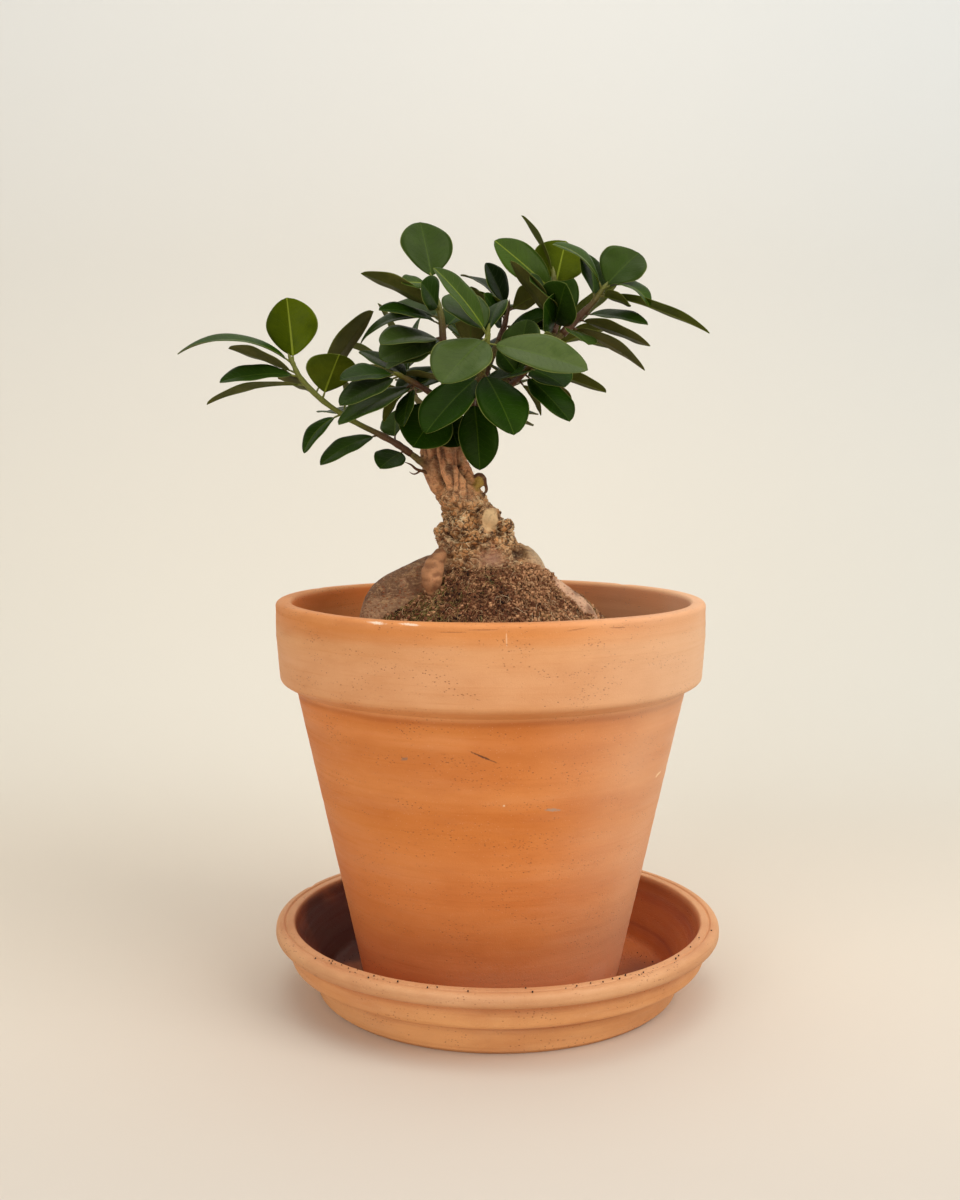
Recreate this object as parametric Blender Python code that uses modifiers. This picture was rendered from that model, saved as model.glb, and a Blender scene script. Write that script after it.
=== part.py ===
"""A ginseng ficus (Ficus microcarpa) grown as a small tree, in a terracotta pot on its saucer.

The frame is in metres with +Z up. The origin is on the floor under the pot's axis, and
the front of the plant faces -Y. The sizes below are in millimetres and degrees.
"""
import math
import random

import bmesh
import bpy
import numpy as np
from mathutils import Vector

MM = 0.001
CONTACT_GAP = 0.35
ROOT_ROOM = 0.97

# The pot: a thrown clay flower pot with a deep collar.
POT_RIM_RADIUS = 125.0
POT_TOP = 233.0
POT_COLLAR_FOOT = 185.5
POT_COLLAR_WALL = 9.0
POT_SHOULDER_RADIUS = 112.6
POT_SHOULDER = 176.0
POT_BASE_RADIUS = 76.0
POT_WALL = 8.0
POT_FLOOR = 9.0
POT_LIP_FILLET = 2.7
POT_EDGE_FILLET = 4.0
COLLAR_TAPER = 1.8
COLLAR_TAPER_HEIGHT = 25.5
COLLAR_UNDERCUT = 3.5
INNER_STEP = 4.0
INNER_LIP_DRAFT = 2.5
DRAIN_HOLE_RADIUS = 9.0

# The saucer: a thrown clay dish with a rolled lip. The pot stands a little off its centre.
SAUCER_SHIFT = 4.0
SAUCER_LIP_RADIUS = 132.0
SAUCER_TOP = 43.3
SAUCER_BASE_RADIUS = 105.8
SAUCER_WELL_RADIUS = 100.0
SAUCER_FLOOR = 8.0
SAUCER_WELL_FILLET = 6.0
LIP_WIDTH = 11.0
LIP_HEIGHT = 7.5
LIP_FILLET = 3.5
LIP_GROOVE = 6.0
NECK_DEPTH = 9.0
NECK_TOP = 11.0
NECK_FOOT = 22.0
APRON_TOP = 25.5
APRON_DEPTH = 6.5

POT_FOOT = SAUCER_FLOOR + CONTACT_GAP
TURNED_STEPS = 32
ARC_POINTS = 2

# The soil: its level at the wall, and the heap that rises round the trunk.
SOIL_LEVEL = 211.0
HEAP_CENTRE = (1.0, -6.0)
HEAP_FOOT_RADIUS = 73.0
HEAP_TOP_RADIUS = 26.0
HEAP_HEIGHT = 37.0
HEAP_HOLLOWNESS = 0.95
SOIL_STEPS = 22
FLAT_RINGS = (0.2, 0.6, 1.0)

# The mat of fine roots and moss that lies over the heap.
MAT_RADIUS = 72.0
MAT_THICKNESS = 4.5
MAT_EDGE = 1.6
MAT_RINGS = 5

# The trunk's swollen limbs: each is a list of (x, y, z, radius).
TRUNK_LIMBS = [
    # the bole, from the buried root stock to the foot of the neck
    [(-4, 2, 208, 24), (-5, 0, 228, 34), (-5, 0, 246, 28), (-7, 0, 259, 24),
     (-11, 0, 270, 20.5), (-13, 0, 281, 16.5), (-15, 0, 289, 14.5), (-19, 0, 299, 13.5)],
    # the three stems that are grown together at the neck
    [(-22, 0, 294, 10), (-31, -1, 307, 8), (-35, -1, 319, 6.5)],
    [(-17, -5, 294, 9), (-24, -8, 308, 6), (-26, -8, 321, 5.5)],
    [(-12, 0, 292, 9), (-16.5, -2, 306, 7.5), (-19, 0, 322, 6.5)],
    [(-20, 5, 294, 9), (-24, 7, 307, 8), (-26, 6, 319, 7)],
    # the big smooth root on the left
    [(-20, -6, 245, 17), (-36, -10, 241.5, 16.5), (-50, -14, 236, 15.5), (-60, -17, 229, 14),
     (-66, -19, 217, 11), (-69, -20, 205, 8)],
    # the root on the right that runs down the heap, and the pale looped root above it
    [(0, -2, 240, 15), (18, -9, 243, 10), (32, -16, 239, 9), (41, -20, 233, 9),
     (50, -23, 226, 8.5), (56, -24, 218.5, 7.5), (59, -25, 206, 5)],
    [(4, 8, 256, 9), (14, 4, 260.5, 6), (22, -3, 257, 5.5), (27, -8, 249, 5.5),
     (29, -12, 242, 5.5)],
    # the roots at the back and the front
    [(-14, 10, 248, 14), (-28, 26, 232, 10), (-37, 40, 214, 8), (-40, 46, 206, 6)],
    [(2, 14, 248, 13), (16, 30, 231, 10), (23, 42, 214, 8), (26, 48, 206, 6)],
    [(-4, -14, 244, 14), (-6, -32, 228, 10), (-5, -44, 214, 8), (-4, -50, 206, 6)],
    # the short drop-shaped aerial root in front of the left root
    [(-29, -20, 260, 3.5), (-33, -27, 253, 5), (-34, -31, 246, 5), (-33, -30, 239, 3)],
]

# Burls, healed cuts and knobs of bark: (x, y, z, radius).
TRUNK_KNOBS = [
    (-5, -6, 300, 5.5), (-4, -5, 294, 4.5), (-1, -14, 280, 7), (7, -9, 274.5, 6),
    (-26.5, -8, 271, 7), (-24, -10, 262, 6.5), (-13, -14, 286, 6), (-16, -17, 274, 7),
    (-6, -19, 269, 7), (-22, -11, 292, 6), (-30, -4, 299, 5.5), (-18, 12, 284, 7),
    (-4, 14, 274, 8), (-22, 14, 266, 8), (8, 10, 266, 7), (-28, 7, 298, 6),
]
TRUNK_VOXEL = 3.0
TRUNK_KEPT_FACES = 0.11
LIMB_SAMPLES = 3
LIMB_RESOLUTION = 4

# The tubes of stems and branches have six sides. A branch ends a little short of its stem.
STEM_RESOLUTION = 1
PATH_SAMPLES = 2
BRANCH_END_SHARE = 0.15

# Leaves: a petiole, then a blade that is folded along its midrib.
LEAF_THICKNESS = 0.7
LEAF_FOLD = 0.22
BLADE_FULLNESS = 0.62
WIDEST_SHARE = 0.46
BROAD_BLADE_SHIFT = 0.1
PETIOLE_LENGTH = 5.0
PETIOLE_HALF_WIDTH = 0.9
BLADE_ROWS = (0.28, 0.58, 0.86, 1.0)
SHORT_LEAF = 32.0
LONGEST_PETIOLE_SHARE = 0.2
LAST_SEAT = 0.985
SHORT_BLADE_ROWS = (0.32, 0.74, 1.0)

# Leaves set by rule: the turn from one to the next, and the ranges that the rest is drawn from.
LEAF_DIVERGENCE = 137.5
TURN_RANGE = (-12.0, 12.0)
TILT_RANGE = (45.0, 65.0)
LENGTH_RANGE = (36.0, 46.0)
SLIMNESS_RANGE = (0.5, 0.62)
ROLL_RANGE = (-20.0, 20.0)
BEND_RANGE = (10.0, 35.0)
FIRST_LEAF = 0.12
LOWEST_REACH = -0.1

# The shoots. "wood" is the path of the branch as part of the trunk, "green" is the path of
# the leafy stem, and "radii" are the radii at the trunk, between the two and at the tip.
# A leaf is (place along the green stem, heading, rise, length, width, roll, bend). A heading
# of 0 points right and 90 points back. A shoot with a "seed" has its leaves set by rule.
SHOOTS = {
    "shoot_left": {
        "wood": [(-28, -2, 304), (-38, -6, 311)],
        "green": [(-47, -9, 318), (-54, -11, 323), (-65, -13, 329), (-75, -16, 334),
                  (-85, -19, 340), (-97, -23, 349), (-107, -26, 360), (-111, -27, 368)],
        "radii": (2.8, 1.9, 1.1),
        "leaves": [
            (1.00, 185, 5, 64, 20, -15, 75), (0.92, 170, 20, 43, 20, 20, 10),
            (1.00, 195, 85, 37, 31, 60, 10), (0.90, 200, -5, 45, 22, -25, 30),
            (0.83, 170, -10, 60, 20, 5, 30), (0.77, 135, 15, 33, 20, 35, 10),
            (0.69, 310, 55, 30, 30, -15, 15), (0.75, 40, 50, 63, 24, -55, 15),
            (0.52, 95, 45, 25, 16, 100, 20), (0.51, 115, 5, 35, 18, -10, 20),
            (0.53, 195, -45, 31, 16, -25, 60), (0.24, 205, -25, 40, 18, -25, 35),
            (0.13, 90, 50, 25, 20, -35, 10), (0.04, 230, -25, 24, 19, -25, 25)],
    },
    "shoot_left_inner": {
        "wood": [(-29, -2, 314), (-32, -8, 334), (-33, -15, 346)],
        "green": [(-35, -23, 352), (-40, -32, 355), (-46, -42, 358), (-50, -48, 360)],
        "radii": (3.4, 1.8, 1.2),
        "leaves": [
            (0.98, 200, -5, 34, 22, -25, 25), (0.97, 205, -25, 39, 23, -25, 15),
            (0.45, 210, -25, 53, 24, -15, 15), (0.60, 155, -50, 28, 18, -10, 25),
            (0.68, 140, 25, 42, 20, -10, 20), (0.52, 250, -55, 29, 17, 30, 20)],
    },
    "shoot_centre_left": {
        "wood": [(-27, 0, 314), (-27, -6, 345)],
        "green": [(-26, -14, 366), (-27, -18, 378), (-28, -20, 393), (-31, -19, 405),
                  (-33, -18, 413)],
        "radii": (3.8, 2.0, 1.2),
        "leaves": [
            (0.98, 125, 70, 38, 32, -10, 10), (0.65, 190, 25, 49, 22, 15, 20),
            (0.97, 215, 0, 21, 15, -35, 15), (0.65, 235, 40, 23, 24, -80, 20),
            (0.58, 145, 15, 37, 25, -25, 20), (0.50, 210, 10, 40, 22, -25, 35),
            (0.33, 225, -5, 47, 24, -25, 35), (0.38, 205, -20, 40, 30, -40, 15),
            (0.21, 225, -15, 44, 20, 0, 20), (0.58, 165, -15, 50, 18, -30, 75),
            (0.44, 40, 35, 32, 26, 15, 20), (0.27, 315, -10, 23, 24, 20, 25)],
    },
    "shoot_front": {
        "wood": [(-22, -2, 314), (-16, -10, 332)],
        "green": [(-11, -22, 344), (-9, -34, 354), (-5, -42, 363), (-3, -48, 374),
                  (-2, -50, 382)],
        "radii": (3.6, 2.0, 1.3),
        "leaves": [
            (1.00, 190, 50, 46, 22, -40, 20), (0.97, 230, -35, 46, 33, -25, 20),
            (0.96, 70, 45, 30, 22, -25, 25), (0.90, 350, -15, 57, 27, 45, 15),
            (0.52, 220, -40, 50, 30, -20, 20), (0.58, 305, -50, 46, 30, 10, 20),
            (0.18, 290, -75, 42, 24, 0, 15), (0.99, 140, 40, 37, 27, -20, 20),
            (0.34, 135, 30, 25, 26, -10, 20)],
    },
    "shoot_front_low": {
        "wood": [(-26, -4, 312), (-26, -8, 326)],
        "green": [(-26, -13, 336), (-26, -19, 342), (-25, -24, 348)],
        "radii": (3.0, 1.8, 1.2),
        "leaves": [
            (1.00, 215, -50, 35, 33, -45, 15), (0.60, 300, -55, 26, 24, 40, 15)],
    },
    "shoot_right_tip": {
        "wood": [(-20, 0, 314), (-8, 0, 343), (12, 0, 361), (28, 1, 376)],
        "green": [(42, 2, 387), (51, 2, 396), (59, 2, 404), (64, 2, 411)],
        "radii": (5.0, 2.4, 1.2),
        "leaves": [
            (1.00, 195, 40, 39, 22, -30, 70), (0.76, 105, 70, 30, 28, 35, 15),
            (1.00, 10, 45, 31, 34, 45, 15), (1.00, 340, -20, 30, 20, 15, 110),
            (0.88, 315, -15, 24, 16, -30, 20), (0.93, 355, -20, 67, 20, -10, 20),
            (0.47, 345, -10, 39, 22, 20, 20), (0.35, 330, -20, 49, 20, -25, 10),
            (0.17, 345, -30, 51, 20, -20, 25), (0.12, 290, -20, 32, 20, -15, 15)],
    },
    "shoot_right_top": {
        "wood": [(26, 1, 374), (32, 6, 381)],
        "green": [(37, 11, 388), (39, 15, 399), (38, 18, 410), (37, 20, 421)],
        "radii": (2.8, 1.8, 1.2),
        "leaves": [
            (0.80, 50, 70, 30, 32, -120, 10), (0.98, 150, 60, 43, 13, 35, 20),
            (0.70, 185, 40, 47, 25, -60, 10), (0.14, 220, 45, 49, 20, -10, 10),
            (0.08, 280, 40, 36, 29, 125, 10), (0.04, 255, 25, 31, 26, -100, 10),
            (0.45, 240, 20, 36, 24, -50, 15)],
    },
    "shoot_right_low": {
        "wood": [(4, 0, 354), (8, -5, 355)],
        "green": [(12, -12, 357), (17, -22, 361), (21, -30, 365)],
        "radii": (2.8, 1.7, 1.2),
        "leaves": [
            (0.94, 310, -20, 32, 26, 15, 20), (0.70, 320, -40, 42, 26, 10, 15),
            (0.94, 35, -35, 36, 20, 10, 25), (0.37, 335, -55, 25, 18, -30, 20),
            (0.94, 15, -15, 48, 22, -10, 15), (0.47, 195, 50, 20, 24, -55, 15),
            (0.94, 55, 30, 32, 24, -60, 15), (0.35, 60, 72, 36, 26, 0, 15)],
    },
    "shoot_centre_back": {
        "wood": [(-14, 3, 334), (-8, 10, 352), (-1, 14, 370)],
        "green": [(5, 16, 384), (8, 20, 392), (10, 22, 402)],
        "radii": (3.2, 1.8, 1.2),
        "leaves": [
            (0.92, 195, 65, 31, 22, -50, 15), (0.92, 0, 30, 22, 24, -30, 15),
            (0.67, 240, 25, 34, 16, -20, 15), (0.48, 315, -5, 32, 20, 25, 20),
            (0.34, 250, 30, 37, 14, -95, 15), (0.92, 145, 35, 41, 18, 0, 50),
            (0.20, 320, 15, 34, 24, 40, 20)],
    },
    "shoot_back_left": {
        "wood": [(-28, 3, 314), (-34, 14, 332), (-40, 26, 344)],
        "green": [(-46, 36, 352), (-52, 46, 360), (-56, 56, 370)],
        "radii": (3.2, 1.8, 1.2), "seed": 3, "count": 8,
    },
    "shoot_back": {
        "wood": [(-24, 4, 316), (-20, 20, 342), (-17, 34, 358)],
        "green": [(-14, 46, 370), (-12, 56, 382), (-12, 64, 396)],
        "radii": (3.2, 1.8, 1.2), "seed": 5, "count": 9,
    },
    "shoot_back_right": {
        "wood": [(8, 2, 358), (20, 14, 366), (28, 26, 372)],
        "green": [(36, 38, 380), (42, 48, 386), (46, 58, 394)],
        "radii": (3.0, 1.8, 1.2), "seed": 8, "count": 8,
    },
    "shoot_back_low": {
        "wood": [(-22, 6, 312), (-18, 18, 322)],
        "green": [(-13, 32, 333), (-9, 46, 338), (-7, 58, 345)],
        "radii": (3.0, 1.8, 1.2), "seed": 5, "count": 6,
    },
}


def material(name, colour, roughness):
    """A plain Principled material of one colour (linear RGB)."""
    made = bpy.data.materials.new(name)
    made.use_nodes = True
    shader = made.node_tree.nodes["Principled BSDF"]
    shader.inputs["Base Color"].default_value = (*colour, 1.0)
    shader.inputs["Roughness"].default_value = roughness
    shader.inputs["Metallic"].default_value = 0.0
    made.diffuse_color = (*colour, 1.0)
    return made


def new_object(name, mesh, collection, finish):
    """An object with one material, linked to the collection."""
    made = bpy.data.objects.new(name, mesh)
    collection.objects.link(made)
    made.data.materials.clear()
    made.data.materials.append(finish)
    return made


def evaluated_mesh(source):
    """The object's mesh with its modifiers applied, as a new mesh of the same place."""
    graph = bpy.context.evaluated_depsgraph_get()
    return bpy.data.meshes.new_from_object(source.evaluated_get(graph))


def rounded_outline(corners):
    """An outline of (radius, height, fillet) corners, with each fillet as a short arc."""
    outline = []
    last = len(corners) - 1
    for index, (radius, height, fillet) in enumerate(corners):
        here = np.array((radius, height), dtype=float)
        if fillet == 0 or index in (0, last):
            outline.append(here)
            continue
        before = np.array(corners[index - 1][:2], dtype=float) - here
        after = np.array(corners[index + 1][:2], dtype=float) - here
        before /= np.linalg.norm(before)
        after /= np.linalg.norm(after)
        half = math.acos(float(np.clip(before @ after, -1, 1))) / 2
        middle = here + (before + after) / np.linalg.norm(before + after) * fillet / math.sin(half)
        first = here + before * fillet / math.tan(half) - middle
        final = here + after * fillet / math.tan(half) - middle
        turn = math.atan2(first[0] * final[1] - first[1] * final[0], float(first @ final))
        for step in range(ARC_POINTS + 1):
            angle = turn * step / ARC_POINTS
            spin = np.array(((math.cos(angle), -math.sin(angle)), (math.sin(angle), math.cos(angle))))
            outline.append(middle + spin @ first)
    return outline


def turned(name, outline, closed, steps, collection, finish):
    """A body turned about the Z axis from an outline of (radius, height) points."""
    mesh = bpy.data.meshes.new(name)
    points = [(radius * MM, 0.0, height * MM) for radius, height in outline]
    edges = [(i, i + 1) for i in range(len(points) - 1)]
    if closed:
        edges.append((len(points) - 1, 0))
    mesh.from_pydata(points, edges, [])
    body = new_object(name, mesh, collection, finish)
    screw = body.modifiers.new("Turn", "SCREW")
    screw.axis = "Z"
    screw.steps = steps
    screw.render_steps = steps
    screw.use_merge_vertices = True
    screw.merge_threshold = 0.00001
    screw.use_smooth_shade = True
    return body


def pot_inner_radius(height):
    """The radius of the pot's inside at a height."""
    heights = (POT_FOOT + POT_FLOOR, POT_SHOULDER - INNER_STEP, POT_COLLAR_FOOT + INNER_STEP,
               POT_TOP)
    mouth = POT_RIM_RADIUS - POT_COLLAR_WALL
    radii = (POT_BASE_RADIUS - POT_WALL + 2, POT_SHOULDER_RADIUS - POT_WALL,
             mouth - INNER_LIP_DRAFT, mouth)
    return float(np.interp(height, heights, radii))


def pot_outline():
    """Over the lip, down the outside, under the foot, and up the inside."""
    inner_foot = POT_FOOT + POT_FLOOR
    heel = 3
    taper_foot = POT_COLLAR_FOOT + 2
    return rounded_outline([
        (pot_inner_radius(POT_TOP - INNER_STEP), POT_TOP - INNER_STEP, 0),
        (pot_inner_radius(POT_TOP), POT_TOP, POT_LIP_FILLET),
        (POT_RIM_RADIUS, POT_TOP, POT_LIP_FILLET),
        (POT_RIM_RADIUS, taper_foot + COLLAR_TAPER_HEIGHT, 0),
        (POT_RIM_RADIUS - COLLAR_TAPER, taper_foot, POT_EDGE_FILLET),
        (POT_SHOULDER_RADIUS + COLLAR_UNDERCUT, POT_COLLAR_FOOT - COLLAR_UNDERCUT, 0),
        (POT_SHOULDER_RADIUS, POT_SHOULDER, POT_EDGE_FILLET),
        (POT_BASE_RADIUS, POT_FOOT, POT_EDGE_FILLET),
        (DRAIN_HOLE_RADIUS, POT_FOOT, 0),
        (DRAIN_HOLE_RADIUS, inner_foot, 0),
        (pot_inner_radius(inner_foot) - heel, inner_foot, 0),
        (pot_inner_radius(inner_foot + heel), inner_foot + heel, 0),
        (pot_inner_radius(POT_SHOULDER - INNER_STEP), POT_SHOULDER - INNER_STEP, 0),
        (pot_inner_radius(POT_COLLAR_FOOT + INNER_STEP), POT_COLLAR_FOOT + INNER_STEP, 0),
    ])


def saucer_outline():
    """Out over the floor of the dish, over the rolled lip, down the mouldings and in."""
    lip = SAUCER_LIP_RADIUS
    base = SAUCER_BASE_RADIUS
    groove = lip - LIP_GROOVE
    chamfer = 2.5
    return rounded_outline([
        (0, SAUCER_FLOOR, 0),
        (SAUCER_WELL_RADIUS, SAUCER_FLOOR, SAUCER_WELL_FILLET),
        (lip - LIP_WIDTH - 3, SAUCER_TOP - LIP_HEIGHT, 0),
        (lip - LIP_WIDTH, SAUCER_TOP, 1.5),
        (groove - 0.6, SAUCER_TOP - 0.3, 0),
        (groove, SAUCER_TOP - 1.2, 0),
        (groove + 0.6, SAUCER_TOP - 0.2, 0),
        (lip - 0.5, SAUCER_TOP, LIP_FILLET),
        (lip, SAUCER_TOP - LIP_HEIGHT, LIP_FILLET),
        (lip - NECK_DEPTH, SAUCER_TOP - NECK_TOP, 0),
        (lip - NECK_DEPTH, SAUCER_TOP - NECK_FOOT, LIP_FILLET),
        (base + APRON_DEPTH, SAUCER_TOP - APRON_TOP, 0),
        (base + 1.2, chamfer, 0),
        (base - 2.0, 0, 0),
        (0, 0, 0),
    ])


def soil_height(x, y):
    """The level of the soil: flat at the wall, and a heap that rises to the trunk."""
    reach = math.hypot(x - HEAP_CENTRE[0], y - HEAP_CENTRE[1])
    rise = (HEAP_FOOT_RADIUS - reach) / (HEAP_FOOT_RADIUS - HEAP_TOP_RADIUS)
    rise = min(max(rise, 0.0), 1.0)
    return SOIL_LEVEL + HEAP_HEIGHT * rise ** HEAP_HOLLOWNESS


def soil_radius(height):
    """The soil's radius at a height: its corners stay clear of the pot's flat facets."""
    return pot_inner_radius(height) * math.cos(math.pi / TURNED_STEPS) - CONTACT_GAP


def heap_rings():
    """The radii of the rings that the soil's top and the mat share."""
    return [MAT_RADIUS * ring / MAT_RINGS for ring in range(MAT_RINGS + 1)]


def shift_to_heap(vertex, wall_radius):
    """Centre a ring on the heap, and the rings past the mat more and more on the pot."""
    reach = math.hypot(vertex.co.x, vertex.co.y) / MM
    share = min(max((wall_radius - reach) / (wall_radius - MAT_RADIUS), 0.0), 1.0)
    vertex.co.x += HEAP_CENTRE[0] * share * MM
    vertex.co.y += HEAP_CENTRE[1] * share * MM


def split_faces_alike(mesh):
    """Split every face along its shorter diagonal, so that stacked surfaces stay parallel."""
    shape = bmesh.new()
    shape.from_mesh(mesh)
    bmesh.ops.triangulate(shape, faces=shape.faces, quad_method="SHORT_EDGE")
    shape.to_mesh(mesh)
    shape.free()


def make_soil(collection, finish):
    """The soil fills the pot from its floor: a turned plug whose top is then heaped."""
    floor = POT_FOOT + POT_FLOOR + CONTACT_GAP
    heel = 5
    side_heights = (POT_COLLAR_FOOT + INNER_STEP, POT_SHOULDER - INNER_STEP, floor + heel)
    wall = soil_radius(SOIL_LEVEL)
    outline = [(radius, SOIL_LEVEL) for radius in heap_rings()]
    outline += [(MAT_RADIUS + (wall - MAT_RADIUS) * share, SOIL_LEVEL) for share in FLAT_RINGS]
    outline += [(soil_radius(height), height) for height in side_heights]
    outline += [(soil_radius(floor) - heel, floor), (0, floor)]
    blank = turned("soil_blank", outline, False, SOIL_STEPS, collection, finish)
    mesh = evaluated_mesh(blank)
    bpy.data.objects.remove(blank)
    for vertex in mesh.vertices:
        if vertex.co.z > (SOIL_LEVEL - 1) * MM:
            shift_to_heap(vertex, wall)
            vertex.co.z = soil_height(vertex.co.x / MM, vertex.co.y / MM) * MM
    split_faces_alike(mesh)
    return new_object("soil", mesh, collection, finish)


def make_root_mat(collection, finish):
    """A mat of even thickness that follows the heap and thins out to its edge."""
    outline = [(radius, SOIL_LEVEL + 1) for radius in heap_rings()]
    outline += [(radius, SOIL_LEVEL) for radius in reversed(heap_rings())]
    blank = turned("mat_blank", outline, False, SOIL_STEPS, collection, finish)
    mesh = evaluated_mesh(blank)
    bpy.data.objects.remove(blank)
    for vertex in mesh.vertices:
        reach = math.hypot(vertex.co.x, vertex.co.y) / (MAT_RADIUS * MM)
        lift = CONTACT_GAP
        if vertex.co.z > (SOIL_LEVEL + 0.5) * MM:
            lift += MAT_EDGE + (MAT_THICKNESS - MAT_EDGE) * (1 - reach ** 4)
        vertex.co.x += HEAP_CENTRE[0] * MM
        vertex.co.y += HEAP_CENTRE[1] * MM
        vertex.co.z = (soil_height(vertex.co.x / MM, vertex.co.y / MM) + lift) * MM
    split_faces_alike(mesh)
    return new_object("root_mat", mesh, collection, finish)


def smooth_path(points, samples_per_span):
    """A Catmull-Rom curve through points of any dimension, in millimetres."""
    points = [np.array(point, dtype=float) for point in points]
    padded = [2 * points[0] - points[1], *points, 2 * points[-1] - points[-2]]
    curve = []
    for before, start, end, after in zip(padded, padded[1:], padded[2:], padded[3:]):
        for step in range(samples_per_span):
            t = step / samples_per_span
            curve.append(0.5 * (2 * start + (end - before) * t
                                + (2 * before - 5 * start + 4 * end - after) * t ** 2
                                + (3 * start - before - 3 * end + after) * t ** 3))
    curve.append(points[-1])
    return np.array(curve)


def tube_mesh(name, path, radii, resolution):
    """A closed tube along a path with a radius at each point, as a mesh in metres."""
    curve = bpy.data.curves.new(name, "CURVE")
    curve.dimensions = "3D"
    curve.bevel_depth = MM
    curve.bevel_resolution = resolution
    curve.use_fill_caps = True
    spline = curve.splines.new("POLY")
    spline.points.add(len(path) - 1)
    for spot, place, radius in zip(spline.points, path, radii):
        spot.co = (*(np.array(place) * MM), 1.0)
        spot.radius = radius
    guide = bpy.data.objects.new(name, curve)
    bpy.context.scene.collection.objects.link(guide)
    mesh = evaluated_mesh(guide)
    bpy.data.objects.remove(guide)
    bpy.data.curves.remove(curve)
    welded = bmesh.new()
    welded.from_mesh(mesh)
    bmesh.ops.remove_doubles(welded, verts=welded.verts, dist=0.00001)
    bmesh.ops.recalc_face_normals(welded, faces=welded.faces)
    welded.to_mesh(mesh)
    welded.free()
    return mesh


def union(base, meshes, finish):
    """Join closed meshes to the base object's mesh by one Boolean union, applied."""
    tools = bpy.data.collections.new("joined pieces")
    bpy.context.scene.collection.children.link(tools)
    for index, mesh in enumerate(meshes):
        new_object(f"piece_{index}", mesh, tools, finish)
    boolean = base.modifiers.new("Union", "BOOLEAN")
    boolean.operation = "UNION"
    boolean.operand_type = "COLLECTION"
    boolean.collection = tools
    boolean.solver = "MANIFOLD"
    joined = evaluated_mesh(base)
    base.modifiers.remove(boolean)
    base.data = joined
    for piece in list(tools.objects):
        bpy.data.objects.remove(piece)
    bpy.data.collections.remove(tools)


def wood_and_stem(shoot):
    """Split a shoot's path into the branch of the trunk and the green stem, with radii."""
    path = smooth_path(shoot["wood"] + shoot["green"], PATH_SAMPLES)
    split = len(shoot["wood"]) * PATH_SAMPLES
    thick, middle, thin = shoot["radii"]
    wood_radii = np.linspace(thick, middle, split + 1)
    stem_radii = np.linspace(middle, thin, len(path) - split)
    wood = path[:split + 1].copy()
    along = wood[-1] - wood[-2]
    wood[-1] -= along / np.linalg.norm(along) * (CONTACT_GAP + BRANCH_END_SHARE * middle)
    return wood, wood_radii, path[split:], stem_radii


def make_trunk(collection, finish):
    """The caudex and its roots are melted into one skin, then the branches are joined."""
    melted = bmesh.new()
    for limb in TRUNK_LIMBS:
        path = smooth_path(limb, LIMB_SAMPLES)
        melted.from_mesh(tube_mesh("limb", path[:, :3], path[:, 3], LIMB_RESOLUTION))
    ends = [tuple(limb[place]) for limb in TRUNK_LIMBS for place in (0, -1)]
    for x, y, z, radius in ends + TRUNK_KNOBS:
        knob = bmesh.ops.create_icosphere(melted, subdivisions=2, radius=radius * MM)
        bmesh.ops.translate(melted, verts=knob["verts"], vec=Vector((x, y, z)) * MM)
    mesh = bpy.data.meshes.new("trunk")
    melted.to_mesh(mesh)
    melted.free()
    trunk = new_object("trunk", mesh, collection, finish)
    skin = trunk.modifiers.new("Melt", "REMESH")
    skin.mode = "VOXEL"
    skin.voxel_size = TRUNK_VOXEL * MM
    thin = trunk.modifiers.new("Thin", "DECIMATE")
    thin.ratio = TRUNK_KEPT_FACES
    trunk.data = evaluated_mesh(trunk)
    trunk.modifiers.clear()
    branches = []
    for name, shoot in SHOOTS.items():
        wood, radii, _, _ = wood_and_stem(shoot)
        branches.append(tube_mesh(name, wood, radii, STEM_RESOLUTION))
    union(trunk, branches, finish)
    return trunk


def drop_scraps(mesh):
    """Keep only the largest loose body of a mesh."""
    loose = bmesh.new()
    loose.from_mesh(mesh)
    unseen = set(loose.verts)
    bodies = []
    while unseen:
        front = [unseen.pop()]
        body = set(front)
        while front:
            for edge in front.pop().link_edges:
                for vertex in edge.verts:
                    if vertex in unseen:
                        unseen.remove(vertex)
                        body.add(vertex)
                        front.append(vertex)
        bodies.append(body)
    bodies.sort(key=len)
    scraps = [vertex for body in bodies[:-1] for vertex in body]
    bmesh.ops.delete(loose, geom=scraps, context="VERTS")
    loose.to_mesh(mesh)
    loose.free()


def make_room_for_trunk(body, trunk, collection):
    """Cut the trunk's room, a little wider than the trunk, out of a body."""
    room_mesh = trunk.data.copy()
    for vertex in room_mesh.vertices:
        vertex.co += vertex.normal * ROOT_ROOM * MM
    room = bpy.data.objects.new("trunk_room", room_mesh)
    collection.objects.link(room)
    cut = body.modifiers.new("Trunk room", "BOOLEAN")
    cut.operation = "DIFFERENCE"
    cut.object = room
    body.data = evaluated_mesh(body)
    body.modifiers.clear()
    bpy.data.objects.remove(room)
    drop_scraps(body.data)


def leaf_axes(heading, rise, roll):
    """Unit vectors along the leaf, out of its upper face, and across it."""
    heading, rise, roll = math.radians(heading), math.radians(rise), math.radians(roll)
    along = np.array((math.cos(rise) * math.cos(heading), math.cos(rise) * math.sin(heading),
                      math.sin(rise)))
    level_up = np.array((0.0, 0.0, 1.0)) - along[2] * along
    level_up /= np.linalg.norm(level_up)
    level_side = np.cross(along, level_up)
    upper = level_up * math.cos(roll) + level_side * math.sin(roll)
    return along, upper, np.cross(along, upper)


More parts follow.
